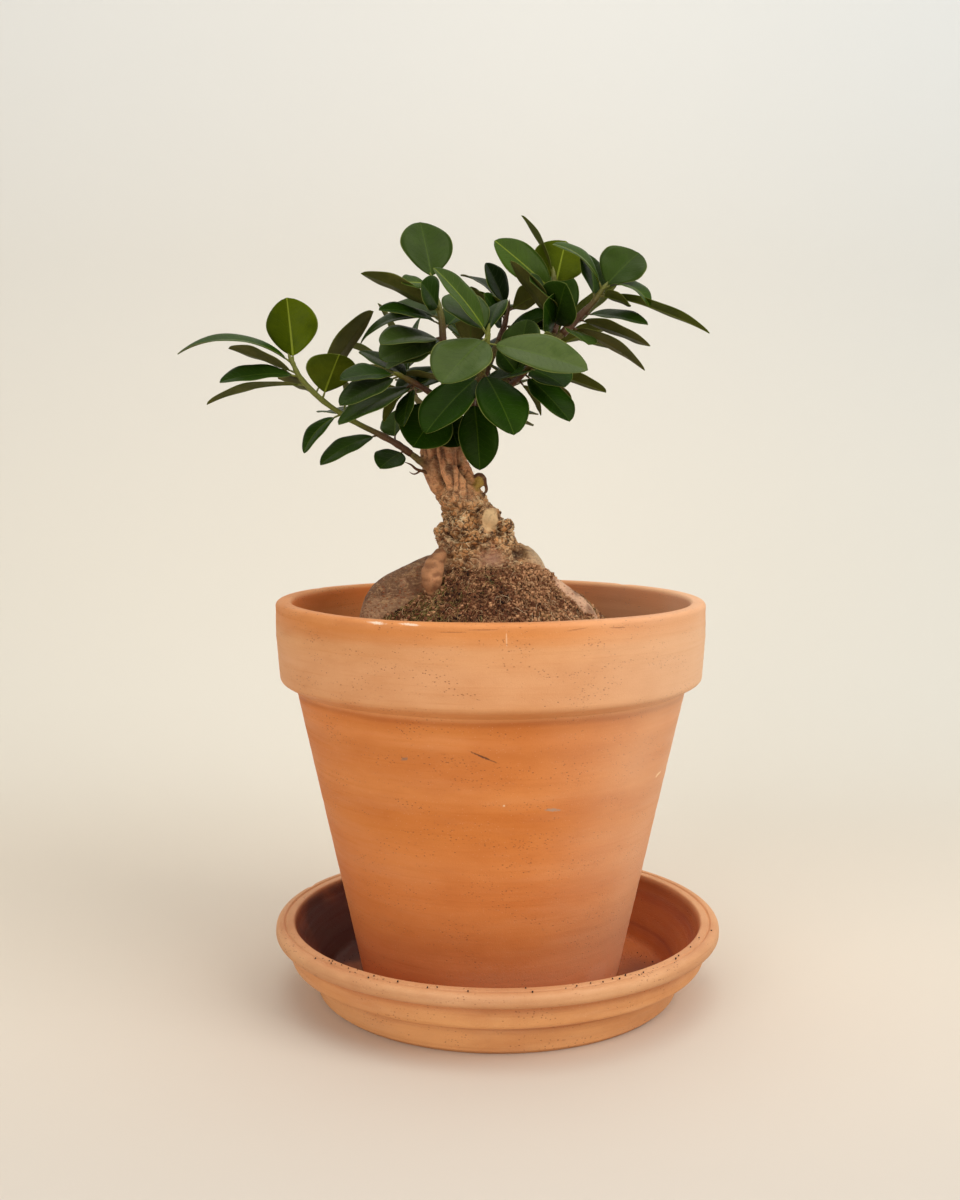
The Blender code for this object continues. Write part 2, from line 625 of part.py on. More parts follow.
def blade_half_width(t, length, width):
    """Half the blade's width at a share t of its length: broad blades widen past the middle."""
    widest = WIDEST_SHARE + BROAD_BLADE_SHIFT * min(width / length, 1.0)
    power = math.log(0.5) / math.log(widest)
    return 0.5 * width * max(math.sin(math.pi * min(t, 1.0) ** power), 0.0) ** BLADE_FULLNESS


def leaf_mesh(base, heading, rise, length, width, roll, bend):
    """A leaf whose midrib is an arc from its base, with the blade folded along it."""
    along, upper, across = leaf_axes(heading, rise, roll)
    bend = math.radians(max(bend, 1.0))
    arc_radius = length / (2 * math.sin(bend / 2))
    petiole = min(PETIOLE_LENGTH / length, LONGEST_PETIOLE_SHARE)
    blade_rows = SHORT_BLADE_ROWS if length < SHORT_LEAF else BLADE_ROWS
    shares = [0.0, petiole] + [petiole + (1 - petiole) * row for row in blade_rows]
    rows = len(shares) - 1
    shape = bmesh.new()
    bmesh.ops.create_grid(shape, x_segments=rows, y_segments=2, size=0.5)
    for vertex in shape.verts:
        row = round((vertex.co.x + 0.5) * rows)
        side = round(vertex.co.y * 2)
        share = shares[row]
        half = PETIOLE_HALF_WIDTH
        if row > 1:
            blade = (share - petiole) / (1 - petiole)
            half = max(blade_half_width(blade, length, width), PETIOLE_HALF_WIDTH * 0.7)
        angle = bend * (0.5 - share)
        middle = arc_radius * ((math.sin(bend / 2) - math.sin(angle)) * along
                               + (math.cos(angle) - math.cos(bend / 2)) * upper)
        face = math.cos(angle) * upper - math.sin(angle) * along
        place = np.array(base) + middle + across * side * half + face * abs(side) * half * LEAF_FOLD
        vertex.co = Vector(place) * MM
    mesh = bpy.data.meshes.new("leaf")
    shape.to_mesh(mesh)
    shape.free()
    blank = bpy.data.objects.new("leaf_blank", mesh)
    bpy.context.scene.collection.objects.link(blank)
    wall = blank.modifiers.new("Thickness", "SOLIDIFY")
    wall.thickness = LEAF_THICKNESS * MM
    wall.offset = 0.0
    solid = evaluated_mesh(blank)
    bpy.data.objects.remove(blank)
    return solid


def leaves_by_rule(stem, count, seed):
    """Leaves spiral up the stem by the golden angle, and stand out from it at a tilt."""
    draw = random.Random(seed)
    axis = stem[-1] - stem[0]
    axis /= np.linalg.norm(axis)
    first = np.cross(axis, (0.0, 0.0, 1.0))
    first /= np.linalg.norm(first)
    second = np.cross(axis, first)
    leaves = []
    for index in range(count):
        turn = math.radians(LEAF_DIVERGENCE * index + draw.uniform(*TURN_RANGE))
        out = math.cos(turn) * first + math.sin(turn) * second
        tilt = math.radians(draw.uniform(*TILT_RANGE))
        reach = math.cos(tilt) * axis + math.sin(tilt) * out
        reach[2] = max(reach[2], LOWEST_REACH)
        reach /= np.linalg.norm(reach)
        heading = math.degrees(math.atan2(reach[1], reach[0]))
        rise = math.degrees(math.asin(reach[2]))
        length = draw.uniform(*LENGTH_RANGE)
        width = length * draw.uniform(*SLIMNESS_RANGE)
        place = FIRST_LEAF + (1 - FIRST_LEAF) * index / (count - 1)
        leaves.append((place, heading, rise, length, width,
                       draw.uniform(*ROLL_RANGE), draw.uniform(*BEND_RANGE)))
    return leaves


def shoot_leaves(shoot, stem):
    """The shoot's leaves, as listed or by rule."""
    if "seed" in shoot:
        return leaves_by_rule(stem, shoot["count"], shoot["seed"])
    return shoot["leaves"]


def point_along(stem, share):
    """The point at a share of the stem's length."""
    lengths = np.linalg.norm(np.diff(stem, axis=0), axis=1)
    marks = np.concatenate(([0.0], np.cumsum(lengths))) / lengths.sum()
    return np.array([np.interp(share, marks, stem[:, axis]) for axis in range(3)])


def make_shoot(name, shoot, collection, finish):
    """A green stem with its leaves joined to it."""
    _, _, stem, radii = wood_and_stem(shoot)
    mesh = tube_mesh(name, stem, radii, STEM_RESOLUTION)
    made = new_object(name, mesh, collection, finish)
    leaves = [leaf_mesh(point_along(stem, min(leaf[0], LAST_SEAT)), *leaf[1:])
              for leaf in shoot_leaves(shoot, stem)]
    union(made, leaves, finish)
    return made


for old in list(bpy.data.objects):
    bpy.data.objects.remove(old)

plant = bpy.data.collections.new("ginseng_ficus")
bpy.context.scene.collection.children.link(plant)

terracotta = material("terracotta", (0.66, 0.30, 0.12), 0.8)
potting_soil = material("potting_soil", (0.03, 0.018, 0.012), 0.95)
fibre = material("fine_roots", (0.19, 0.10, 0.05), 0.95)
bark = material("bark", (0.36, 0.21, 0.11), 0.75)
foliage = material("foliage", (0.035, 0.10, 0.025), 0.4)

saucer = turned("saucer", saucer_outline(), False, TURNED_STEPS, plant, terracotta)
saucer.location.x = SAUCER_SHIFT * MM
pot = turned("pot", pot_outline(), True, TURNED_STEPS, plant, terracotta)
trunk = make_trunk(plant, bark)
for part in (make_soil(plant, potting_soil), make_root_mat(plant, fibre)):
    make_room_for_trunk(part, trunk, plant)
for shoot_name, shoot_plan in SHOOTS.items():
    make_shoot(shoot_name, shoot_plan, plant, foliage)
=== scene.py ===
"""A ginseng ficus in its terracotta pot, on its saucer: the finish of every surface.

The frame is in metres with +Z up, and the front of the plant faces -Y. Sizes here are in
millimetres and degrees, and MM turns them into metres. Colours are written as sRGB, 0 to 255.
"""
import math
import random

import bpy
import numpy as np
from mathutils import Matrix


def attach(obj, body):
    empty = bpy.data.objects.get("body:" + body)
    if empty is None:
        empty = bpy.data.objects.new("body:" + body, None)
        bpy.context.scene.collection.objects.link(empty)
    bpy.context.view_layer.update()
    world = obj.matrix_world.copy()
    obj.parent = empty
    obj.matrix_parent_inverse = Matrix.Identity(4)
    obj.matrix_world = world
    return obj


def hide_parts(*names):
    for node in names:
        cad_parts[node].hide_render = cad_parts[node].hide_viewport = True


MM = 0.001
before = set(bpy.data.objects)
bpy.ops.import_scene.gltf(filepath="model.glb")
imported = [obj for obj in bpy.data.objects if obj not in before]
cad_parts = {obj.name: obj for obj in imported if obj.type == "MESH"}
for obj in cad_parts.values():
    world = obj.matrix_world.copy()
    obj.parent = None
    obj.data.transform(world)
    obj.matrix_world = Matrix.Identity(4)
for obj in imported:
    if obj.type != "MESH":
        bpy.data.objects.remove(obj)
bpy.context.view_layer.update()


# The saucer is a thrown terracotta dish: a rolled, grooved lip over a hollow neck and an apron.
# It was turned on a wheel, which left fine rings in the clay, and fired once without a glaze.
# It lies loose on the floor, a little off the pot's axis.
SAUCER_SHIFT = 4.0
SAUCER_LIP_RADIUS = 132.0
SAUCER_TOP = 43.3
SAUCER_BASE_RADIUS = 105.8
SAUCER_WELL_RADIUS = 100.0
SAUCER_FLOOR = 8.0
SAUCER_WELL_FILLET = 6.0
LIP_WIDTH = 11.0
LIP_HEIGHT = 7.5
LIP_FILLET = 3.5
LIP_GROOVE = 6.0
NECK_DEPTH = 9.0
NECK_TOP = 11.0
NECK_FOOT = 22.0
APRON_TOP = 25.5
APRON_DEPTH = 6.5
POT_STAND_RADIUS = 74.0
CLAY_STEPS = 256
CLAY_SPACING = 1.8
HIDDEN_SPACING = 9.0
ARC_POINTS = 6


def rounded_outline(corners):
    """An outline of (radius, height, fillet) corners, each fillet an arc that touches both runs."""
    outline = []
    last = len(corners) - 1
    for index, (radius, height, fillet) in enumerate(corners):
        here = np.array((radius, height), dtype=float)
        if fillet == 0 or index in (0, last):
            outline.append(here)
            continue
        before = np.array(corners[index - 1][:2], dtype=float) - here
        after = np.array(corners[index + 1][:2], dtype=float) - here
        before /= np.linalg.norm(before)
        after /= np.linalg.norm(after)
        half = math.acos(float(np.clip(before @ after, -1, 1))) / 2
        middle = here + (before + after) / np.linalg.norm(before + after) * fillet / math.sin(half)
        first = here + before * fillet / math.tan(half) - middle
        final = here + after * fillet / math.tan(half) - middle
        turn = math.atan2(first[0] * final[1] - first[1] * final[0], float(first @ final))
        angle = turn * np.arange(ARC_POINTS + 1) / ARC_POINTS
        cosine, sine = np.cos(angle), np.sin(angle)
        arc = np.stack([cosine * first[0] - sine * first[1],
                        sine * first[0] + cosine * first[1]], axis=1)
        outline += list(middle + arc)
    return np.array(outline)


def resampled(outline, spacing):
    """The outline's corners with points between them, evenly spread at most a spacing apart."""
    runs = np.diff(outline, axis=0)
    counts = np.maximum(np.ceil(np.linalg.norm(runs, axis=1) / spacing), 1).astype(int)
    run = np.repeat(np.arange(len(runs)), counts)
    step = np.arange(counts.sum()) - np.repeat(np.cumsum(counts) - counts, counts)
    return np.vstack([outline[run] + runs[run] * (step / counts[run])[:, None], outline[-1:]])


def grid_faces(rows, columns, wrap_rows=False):
    """Quads of a grid whose columns close into a ring; row direction x column direction is out."""
    row_count = rows if wrap_rows else rows - 1
    row, column = np.meshgrid(np.arange(row_count), np.arange(columns), indexing="ij")
    below = (row + 1) % rows
    right = (column + 1) % columns
    corners = [row * columns + column, below * columns + column, below * columns + right,
               row * columns + right]
    return np.stack(corners, axis=-1).reshape(-1, 4)


def turned_surface(outline, steps):
    """A surface of revolution: (r cos a, r sin a, h) for each outline point (r, h) and each angle a.

    The outline runs down the outside. Ends that lie on the axis close in a fan of triangles,
    and an outline that stays off the axis is joined end to end. Also gives each point's normal,
    the outline's own normal (-dh, dr) turned by a, and how far along the outline it lies."""
    ahead = np.gradient(outline, axis=0)
    ahead /= np.linalg.norm(ahead, axis=1, keepdims=True)
    travel = np.concatenate(([0.0], np.cumsum(np.linalg.norm(np.diff(outline, axis=0), axis=1))))
    capped = outline[0, 0] == 0
    kept = slice(1, -1) if capped else slice(None)
    rings, ahead_rings, ring_travel = outline[kept], ahead[kept], travel[kept]
    angle = np.arange(steps) * (2 * np.pi / steps)
    spin = np.stack([np.cos(angle), np.sin(angle)], axis=-1)

    def turned(radial, axial):
        flat = radial[:, None, None] * spin[None]
        upright = np.broadcast_to(axial[:, None, None], (len(axial), steps, 1))
        return np.concatenate([flat, upright], axis=-1).reshape(-1, 3)

    points = turned(rings[:, 0], rings[:, 1])
    normals = turned(-ahead_rings[:, 1], ahead_rings[:, 0])
    travels = np.repeat(ring_travel, steps)
    faces = [grid_faces(len(rings), steps, wrap_rows=not capped)]
    if capped:
        count = len(points)
        around = np.arange(steps)
        following = (around + 1) % steps
        end = count - steps
        faces.append(np.stack([np.full(steps, count), around, following], axis=1))
        faces.append(np.stack([end + around, np.full(steps, count + 1), end + following], axis=1))
        poles = np.array([(0, 0, outline[0, 1]), (0, 0, outline[-1, 1])])
        points = np.vstack([points, poles])
        normals = np.vstack([normals, [(0, 0, 1), (0, 0, -1)]])
        travels = np.append(travels, [travel[0], travel[-1]])
    return points, faces, normals, travels


def drawn(cubes, seed):
    """A random value from -1 to 1 for each cube, hashed from its three whole numbers."""
    x, y, z = cubes.T
    mixed = (x * 73856093) ^ (y * 19349663) ^ (z * 83492791) ^ (seed * 50331653 + 12345)
    mixed = (mixed ^ (mixed >> 13)) * 1274126177
    return ((mixed ^ (mixed >> 16)) & 0xffff) / 32767.5 - 1


def lattice_noise(points, cell, seed=0):
    """Smooth noise from -1 to 1: random values at the corners of cubes of one cell's size,
    blended across each cube by 3t^2 - 2t^3 on every axis."""
    place = np.asarray(points) / cell
    corner = np.floor(place).astype(np.int64)
    share = place - corner
    share = share * share * (3 - 2 * share)
    total = np.zeros(len(place))
    for step in np.ndindex(2, 2, 2):
        total += np.prod(np.where(step, share, 1 - share), axis=1) * drawn(corner + step, seed)
    return total


def layered_noise(points, cell, layers, seed=0):
    """Lattice noise with finer layers on top, each of half the last one's cell and height."""
    return sum(lattice_noise(points, cell / 2 ** layer, seed + layer) / 2 ** layer
               for layer in range(layers))


def ramp(value, low, high):
    """0 below low, 1 above high, and 3t^2 - 2t^3 between them; low may be the larger."""
    share = np.clip((value - low) / (high - low), 0, 1)
    return share * share * (3 - 2 * share)


def thrown_relief(points, travel, seed):
    """How far thrown clay stands proud: slow waves round the body, and rings along the outline."""
    x, y, _ = points.T
    rings = np.stack([x / 80, y / 80, travel / 2.4], axis=1)
    fine_rings = np.stack([x / 50, y / 50, travel / 0.9], axis=1)
    return (0.3 * lattice_noise(points, 60, seed) + 0.09 * lattice_noise(rings, 1, seed + 1)
            + 0.05 * lattice_noise(fine_rings, 1, seed + 2))


def nicked(points, nicks):
    """Press small nicks into an edge: each is (x, y, z, radius, depth), towards the body's axis
    and downwards, and dies out as exp(-(distance / radius)^2)."""
    for *centre, radius, depth in nicks:
        share = np.exp(-(np.linalg.norm(points - centre, axis=1) / radius) ** 2)[:, None]
        inward = -np.array((centre[0], centre[1], 0.0)) / math.hypot(centre[0], centre[1])
        points = points + share * depth * (inward + (0, 0, -0.8))
    return points


def srgb(red, green, blue):
    """A screen colour, 0 to 255, as the linear colour that shaders take."""
    share = np.array((red, green, blue)) / 255
    linear = np.where(share <= 0.04045, share / 12.92, ((share + 0.055) / 1.055) ** 2.4)
    return (*(float(part) for part in linear), 1.0)


def make_piece(name, points, faces, finishes, slot, replaced=(), kinds=None, values=None, uv=None):
    """A mesh piece of the plant: points in millimetres, faces as arrays of three or four corners.

    kinds picks each face's finish, values are named numbers or colours for each point, and uv
    is each point's place on its own surface."""
    mesh = bpy.data.meshes.new(name)
    corners = np.concatenate([block.ravel() for block in faces])
    sizes = np.concatenate([np.full(len(block), block.shape[1]) for block in faces])
    mesh.vertices.add(len(points))
    mesh.vertices.foreach_set("co", (points * MM).astype(np.float32).ravel())
    mesh.loops.add(len(corners))
    mesh.loops.foreach_set("vertex_index", corners.astype(np.int32))
    mesh.polygons.add(len(sizes))
    mesh.polygons.foreach_set("loop_start", (np.cumsum(sizes) - sizes).astype(np.int32))
    mesh.update(calc_edges=True)
    if kinds is not None:
        mesh.polygons.foreach_set("material_index", np.asarray(kinds, dtype=np.int32))
    for label, value in (values or {}).items():
        value = np.asarray(value, dtype=np.float32)
        if value.ndim == 2:
            layer = mesh.attributes.new(label, "FLOAT_COLOR", "POINT")
            layer.data.foreach_set("color", np.column_stack([value, np.ones(len(value))]).ravel())
        else:
            mesh.attributes.new(label, "FLOAT", "POINT").data.foreach_set("value", value)
    if uv is not None:
        layer = mesh.uv_layers.new(name="surface")
        layer.data.foreach_set("uv", uv[corners].astype(np.float32).ravel())
    mesh.shade_smooth()
    for finish in finishes:
        mesh.materials.append(finish)
    made = bpy.data.objects.new(name, mesh)
    bpy.context.scene.collection.objects.link(made)
    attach(made, "root")
    if replaced:
        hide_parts(*replaced)
    return made


def add_node(tree, kind, inputs=None, **settings):
    """Add a shader node and give its outputs. An input is set to a value, or linked to a socket."""
    made = tree.nodes.new("ShaderNode" + kind)
    for key, value in settings.items():
        setattr(made, key, value)
    for key, value in (inputs or {}).items():
        if isinstance(value, bpy.types.NodeSocket):
            tree.links.new(value, made.inputs[key])
        else:
            made.inputs[key].default_value = value
    return made.outputs


def blended(tree, share, under, over, mode="MIX"):
    """A colour with another laid over it by a share."""
    return add_node(tree, "Mix", {0: share, 6: under, 7: over}, data_type="RGBA",
                    blend_type=mode)[2]


def maths(tree, operation, *numbers):
    """One sum on numbers or sockets."""
    return add_node(tree, "Math", dict(enumerate(numbers)), operation=operation)[0]


def times(tree, first, second):
    """One number or socket times another."""
    return maths(tree, "MULTIPLY", first, second)


def plus(tree, first, second):
    """One number or socket plus another."""
    return maths(tree, "ADD", first, second)


def laid(tree, colour, mask, strength, tone):
    """A tone laid over a colour by a mask at a strength."""
    return blended(tree, times(tree, mask, strength), colour, tone)


def fractal(tree, place, scale, detail, roughness=0.5, distortion=0.0):
    """Fractal noise from 0 to 1 at a place."""
    return add_node(tree, "TexNoise", {"Vector": place, "Scale": scale, "Detail": detail,
                                       "Roughness": roughness, "Distortion": distortion})[0]


def ranged(tree, value, low, high, to_low=0.0, to_high=1.0):
    """A value eased from one range to another, and held at its ends."""
    return add_node(tree, "MapRange", {"Value": value, "From Min": low, "From Max": high,
                                       "To Min": to_low, "To Max": to_high},
                    interpolation_type="SMOOTHSTEP")["Result"]


def stretched(tree, vector, stretch):
    """A place multiplied axis by axis, so that a pattern on it runs longer one way."""
    return add_node(tree, "VectorMath", {0: vector, 1: stretch}, operation="MULTIPLY")[0]


def place_in_mm(tree):
    """Object coordinates in millimetres."""
    place = add_node(tree, "TexCoord")["Object"]
    return add_node(tree, "VectorMath", {0: place, "Scale": 1 / MM}, operation="SCALE")[0]


def new_group(name, inputs, outputs):
    """A shader node group with named sockets: its tree, what it is given and what it puts out."""
    tree = bpy.data.node_groups.new(name, "ShaderNodeTree")
    for label, kind in inputs.items():
        tree.interface.new_socket(label, in_out="INPUT", socket_type="NodeSocket" + kind)
    for label, kind in outputs.items():
        tree.interface.new_socket(label, in_out="OUTPUT", socket_type="NodeSocket" + kind)
    given = tree.nodes.new("NodeGroupInput").outputs
    result = tree.nodes.new("NodeGroupOutput").inputs
    return tree, given, result


def use_group(tree, group, inputs):
    """Place a node group with its values and give its outputs."""
    return add_node(tree, "Group", inputs, node_tree=group)


def make_blotches():
    """Soft blotches: fractal noise, eased to a mask between a low and a high level."""
    tree, given, result = new_group(
        "blotches", {"Place": "Vector", "Scale": "Float", "Low": "Float", "High": "Float"},
        {"Mask": "Float"})
    noise = fractal(tree, given["Place"], scale=given["Scale"], detail=5.0, roughness=0.6)
    tree.links.new(ranged(tree, noise, given["Low"], given["High"]), result["Mask"])
    return tree


def make_specks():
    """Round specks: the middles of some of the cells of a scattered pattern."""
    tree, given, result = new_group(
        "specks", {"Place": "Vector", "Scale": "Float", "Size": "Float", "Share": "Float"},
        {"Mask": "Float"})
    cells = add_node(tree, "TexVoronoi", {"Vector": given["Place"], "Scale": given["Scale"]})
    near = ranged(tree, cells["Distance"], given["Size"], times(tree, given["Size"], 0.5))
    draw = add_node(tree, "SeparateColor", {"Color": cells["Color"]})[0]
    chosen = maths(tree, "LESS_THAN", draw, given["Share"])
    tree.links.new(times(tree, near, chosen), result["Mask"])
    return tree


def make_spot():
    """One ragged spot: an ellipsoid about a centre, turned in the XZ plane, with a noisy edge
    whose bumps get smaller with its Grain."""
    tree, given, result = new_group(
        "spot", {"Place": "Vector", "Centre": "Vector", "Reach": "Vector", "Turn": "Float",
                 "Grain": "Float"},
        {"Mask": "Float"})
    offset = add_node(tree, "VectorMath", {0: given["Place"], 1: given["Centre"]},
                      operation="SUBTRACT")[0]
    turned = add_node(tree, "VectorRotate", {"Vector": offset, "Angle": given["Turn"]},
                      rotation_type="Y_AXIS")[0]
    scaled = add_node(tree, "VectorMath", {0: turned, 1: given["Reach"]}, operation="DIVIDE")[0]
    length = add_node(tree, "VectorMath", {0: scaled}, operation="LENGTH")["Value"]
    noise = fractal(tree, given["Place"], scale=given["Grain"], detail=4.0)
    ragged = plus(tree, length, times(tree, noise, 0.9))
    tree.links.new(ranged(tree, ragged, 1.25, 0.75), result["Mask"])
    return tree


def specks_at(tree, place, scale, size, share):
    """The mask of the specks at a place."""
    return use_group(tree, specks, {"Place": place, "Scale": scale, "Size": size, "Share": share})[0]


def blotches_at(tree, place, scale, low, high):
    """The mask of the blotches at a place."""
    return use_group(tree, blotches, {"Place": place, "Scale": scale, "Low": low, "High": high})[0]


def make_fired_clay():
    """Fired clay: a body colour in slow blotches, turning rings, dry bloom, pits and pale grit."""
    tree, given, result = new_group(
        "fired clay",
        {"Place": "Vector", "Body": "Color", "Shade": "Color", "Bloom": "Color",
         "Bloom Share": "Float", "Pits": "Float"},
        {"Color": "Color", "Roughness": "Float", "Height": "Float"})
    place = given["Place"]
    slow = blotches_at(tree, stretched(tree, place, (1, 1, 2.5)), scale=0.016, low=0.35, high=0.75)
    long_rings = stretched(tree, place, (0.012, 0.012, 0.45))
    rings = fractal(tree, long_rings, scale=1.0, detail=6.0, roughness=0.7)
    bloom = blotches_at(tree, stretched(tree, place, (0.6, 0.6, 3.5)), scale=0.03, low=0.45, high=0.8)
    dust = times(tree, bloom, given["Bloom Share"])
    pits = specks_at(tree, stretched(tree, place, (0.7, 0.7, 1.3)), scale=0.8, size=0.3,
                     share=given["Pits"])
    clusters = blotches_at(tree, stretched(tree, place, (1, 1, 2.5)), scale=0.04, low=0.5, high=0.62)
    pits = times(tree, pits, clusters)
    holes = specks_at(tree, stretched(tree, place, (0.8, 0.8, 1.2)), scale=0.55, size=0.27, share=0.7)
    rows = blotches_at(tree, stretched(tree, place, (1, 1, 4.0)), scale=0.025, low=0.49, high=0.6)
    holes = times(tree, holes, rows)
    pits = maths(tree, "MAXIMUM", pits, holes)
    grit = specks_at(tree, place, scale=0.9, size=0.32, share=0.12)
    grain = fractal(tree, place, scale=1.6, detail=3.0)
    colour = blended(tree, times(tree, slow, 0.6), given["Body"], given["Shade"])
    colour = blended(tree, ranged(tree, rings, 0.5, 0.8, 0.0, 0.5), colour, given["Shade"])
    colour = blended(tree, dust, colour, given["Bloom"])
    colour = blended(tree, ranged(tree, grain, 0.45, 0.75, 0.0, 0.16), colour, given["Shade"])
    colour = laid(tree, colour, grit, 0.25, given["Bloom"])
    colour = laid(tree, colour, pits, 0.55, srgb(132, 68, 36))
    tree.links.new(colour, result["Color"])
    tree.links.new(ranged(tree, rings, 0.3, 0.8, 0.52, 0.7), result["Roughness"])
    raised = maths(tree, "SUBTRACT", times(tree, grain, 0.5), pits)
    tree.links.new(plus(tree, raised, times(tree, rings, 0.6)), result["Height"])
    return tree


blotches = make_blotches()
specks = make_specks()
spot = make_spot()
fired_clay = make_fired_clay()


def new_finish(name):
    """An empty material: its node tree and its Principled shader."""
    finish = bpy.data.materials.new(name)
    finish.use_nodes = True
    return finish, finish.node_tree, finish.node_tree.nodes["Principled BSDF"]


def set_relief(tree, shader, height, distance):
    """Raise a finish by a height of 0 to 1, worth a distance in millimetres."""
    bump = add_node(tree, "Bump", {"Height": height, "Strength": 0.6, "Distance": distance * MM})
    tree.links.new(bump[0], shader.inputs["Normal"])


def attribute(tree, label, kind="Fac"):
    """A value or colour that is stored on the mesh."""
    return add_node(tree, "Attribute", attribute_name=label)[kind]


def clay_finish(name, body, shade, bloom, bloom_share, pits, stops, height_span, inner, stains_and_shade,
                marks):
    """Unglazed clay whose tone follows the stops of a ramp up the piece. It is darker inside,
    partly with water stains and partly with painted shade, is paler with a painted sheen where
    the mesh says so, and has marks."""
    finish, tree, shader = new_finish(name)
    place = place_in_mm(tree)
    height = add_node(tree, "SeparateXYZ", {0: place})["Z"]
    drift = fractal(tree, place, scale=0.012, detail=2.0)
    level = ranged(tree, plus(tree, height, times(tree, drift, 4.0)), 0.0, height_span)
    level.node.interpolation_type = "LINEAR"
    bands = tree.nodes.new("ShaderNodeValToRGB")
    tree.links.new(level, bands.inputs[0])
    bands.color_ramp.interpolation = "EASE"
    for index, (level_mm, *tone) in enumerate(stops):
        if index < 2:
            stop = bands.color_ramp.elements[index]
            stop.position = level_mm / height_span
        else:
            stop = bands.color_ramp.elements.new(level_mm / height_span)
        stop.color = (*tone, 1.0)
    body, shade = (blended(tree, 1.0, tone, bands.outputs[0], "MULTIPLY") for tone in (body, shade))
    clay = use_group(tree, fired_clay, {"Place": place, "Body": body, "Shade": shade,
                                        "Bloom": bloom, "Bloom Share": bloom_share, "Pits": pits})
    # The inside is darker: partly water stains, partly painted shade.
    colour = blended(tree, attribute(tree, "inner"), clay["Color"],
                     blended(tree, 1.0, clay["Color"], inner, "MULTIPLY"))
    # Where the mesh says so the clay is painted paler: a painted sheen on the side towards the key
    # light.
    colour = blended(tree, attribute(tree, "painted_sheen"), colour, srgb(250, 212, 176))
    # Stains and painted shade inside the piece, each a ragged spot.
    for centre, reach, tone, strength in stains_and_shade:
        mask = use_group(tree, spot, {"Place": place, "Centre": centre, "Reach": reach,
                                      "Turn": 0.0, "Grain": 0.03})[0]
        mask = times(tree, mask, attribute(tree, "inner"))
        colour = laid(tree, colour, mask, strength, srgb(*tone))
    raised = clay["Height"]
    for centre, reach, turn, tone, strength, lift in marks:
        mask = use_group(tree, spot, {"Place": place, "Centre": centre, "Reach": reach,
                                      "Turn": math.radians(turn), "Grain": 0.8})[0]
        colour = laid(tree, colour, mask, strength, srgb(*tone))
        if lift:
            raised = plus(tree, raised, times(tree, mask, lift))
    tree.links.new(colour, shader.inputs["Base Color"])
    tree.links.new(clay["Roughness"], shader.inputs["Roughness"])
    shader.inputs["Specular IOR Level"].default_value = 0.32
    set_relief(tree, shader, raised, 0.4)
    return finish


saucer_corners = [
    (0, SAUCER_FLOOR, 0),
    (SAUCER_WELL_RADIUS, SAUCER_FLOOR, SAUCER_WELL_FILLET),
    (SAUCER_LIP_RADIUS - LIP_WIDTH - 3, SAUCER_TOP - LIP_HEIGHT, 0),
    (SAUCER_LIP_RADIUS - LIP_WIDTH, SAUCER_TOP, 1.5),
    (SAUCER_LIP_RADIUS - LIP_GROOVE - 0.9, SAUCER_TOP - 0.3, 0.5),
    (SAUCER_LIP_RADIUS - LIP_GROOVE, SAUCER_TOP - 1.3, 0.4),
    (SAUCER_LIP_RADIUS - LIP_GROOVE + 0.9, SAUCER_TOP - 0.2, 0.5),
    (SAUCER_LIP_RADIUS - 0.5, SAUCER_TOP, LIP_FILLET),
    (SAUCER_LIP_RADIUS, SAUCER_TOP - LIP_HEIGHT, LIP_FILLET),
    (SAUCER_LIP_RADIUS - NECK_DEPTH, SAUCER_TOP - NECK_TOP, 1.5),
    (SAUCER_LIP_RADIUS - NECK_DEPTH, SAUCER_TOP - NECK_FOOT, LIP_FILLET),
    (SAUCER_BASE_RADIUS + APRON_DEPTH, SAUCER_TOP - APRON_TOP, 1.5),
    (SAUCER_BASE_RADIUS + 1.2, 2.5, 1.0),
    (SAUCER_BASE_RADIUS - 2.0, 0, 0),
    (0, 0, 0),
]
corner_line = rounded_outline(saucer_corners)
seen_from = int(np.argmax(corner_line[:, 0] > SAUCER_WELL_RADIUS - 12))
well_edge = [(POT_STAND_RADIUS, SAUCER_FLOOR)]
saucer_outline = np.vstack([
    resampled(np.vstack([corner_line[:1], well_edge]), HIDDEN_SPACING)[:-1],
    resampled(np.vstack([well_edge, corner_line[seen_from:-1]]), CLAY_SPACING)[:-1],
    resampled(corner_line[-2:], HIDDEN_SPACING)])
saucer_points, saucer_faces, normals, travel = turned_surface(saucer_outline, CLAY_STEPS)
proud = thrown_relief(saucer_points, travel, 3)
proud *= ramp(saucer_points[:, 2], 0.5, 6.0)
saucer_points = saucer_points + normals * proud[:, None]
SAUCER_NICKS = [(-82.0, -103.0, 42.5, 2.6, 0.8), (38.0, -126.0, 42.0, 2.2, 0.7),
                (104.0, -81.0, 42.5, 3.0, 0.8), (-120.0, 54.0, 42.0, 3.0, 0.9)]
saucer_points = nicked(saucer_points, SAUCER_NICKS) + (SAUCER_SHIFT, 0, 0)
# Tones are (height, and what red, green and blue are multiplied by there). Marks are (centre,
# reach, turn, colour, strength, lift), and stains and shade are (centre, reach, colour, strength).
# The dark tones at 18.6 mm and at 34 to 36 mm are painted shade, under the neck's ledge and under the
# lip.
SAUCER_TONES = [
    (0.0, 1.16, 1.3, 1.2), (5.0, 1.2, 1.38, 1.34), (14.0, 1.22, 1.4, 1.36), (17.0, 1.1, 1.2, 1.14),
    (18.6, 0.88, 0.84, 0.76), (21.0, 1.14, 1.26, 1.16), (30.0, 1.14, 1.26, 1.18),
    (34.0, 0.96, 0.92, 0.84), (36.0, 0.86, 0.82, 0.76), (38.0, 1.0, 1.14, 1.2),
    (41.0, 1.0, 1.2, 1.36), (43.6, 1.06, 1.3, 1.5),
]
SAUCER_MARKS = [
    ((-64.0, -113.0, 43.0), (1.2, 4.0, 0.8), 0, (84, 44, 24), 0.8, -1.0),
    ((72.0, -108.0, 42.0), (1.5, 4.0, 1.0), 0, (84, 44, 24), 0.8, -1.0),
]
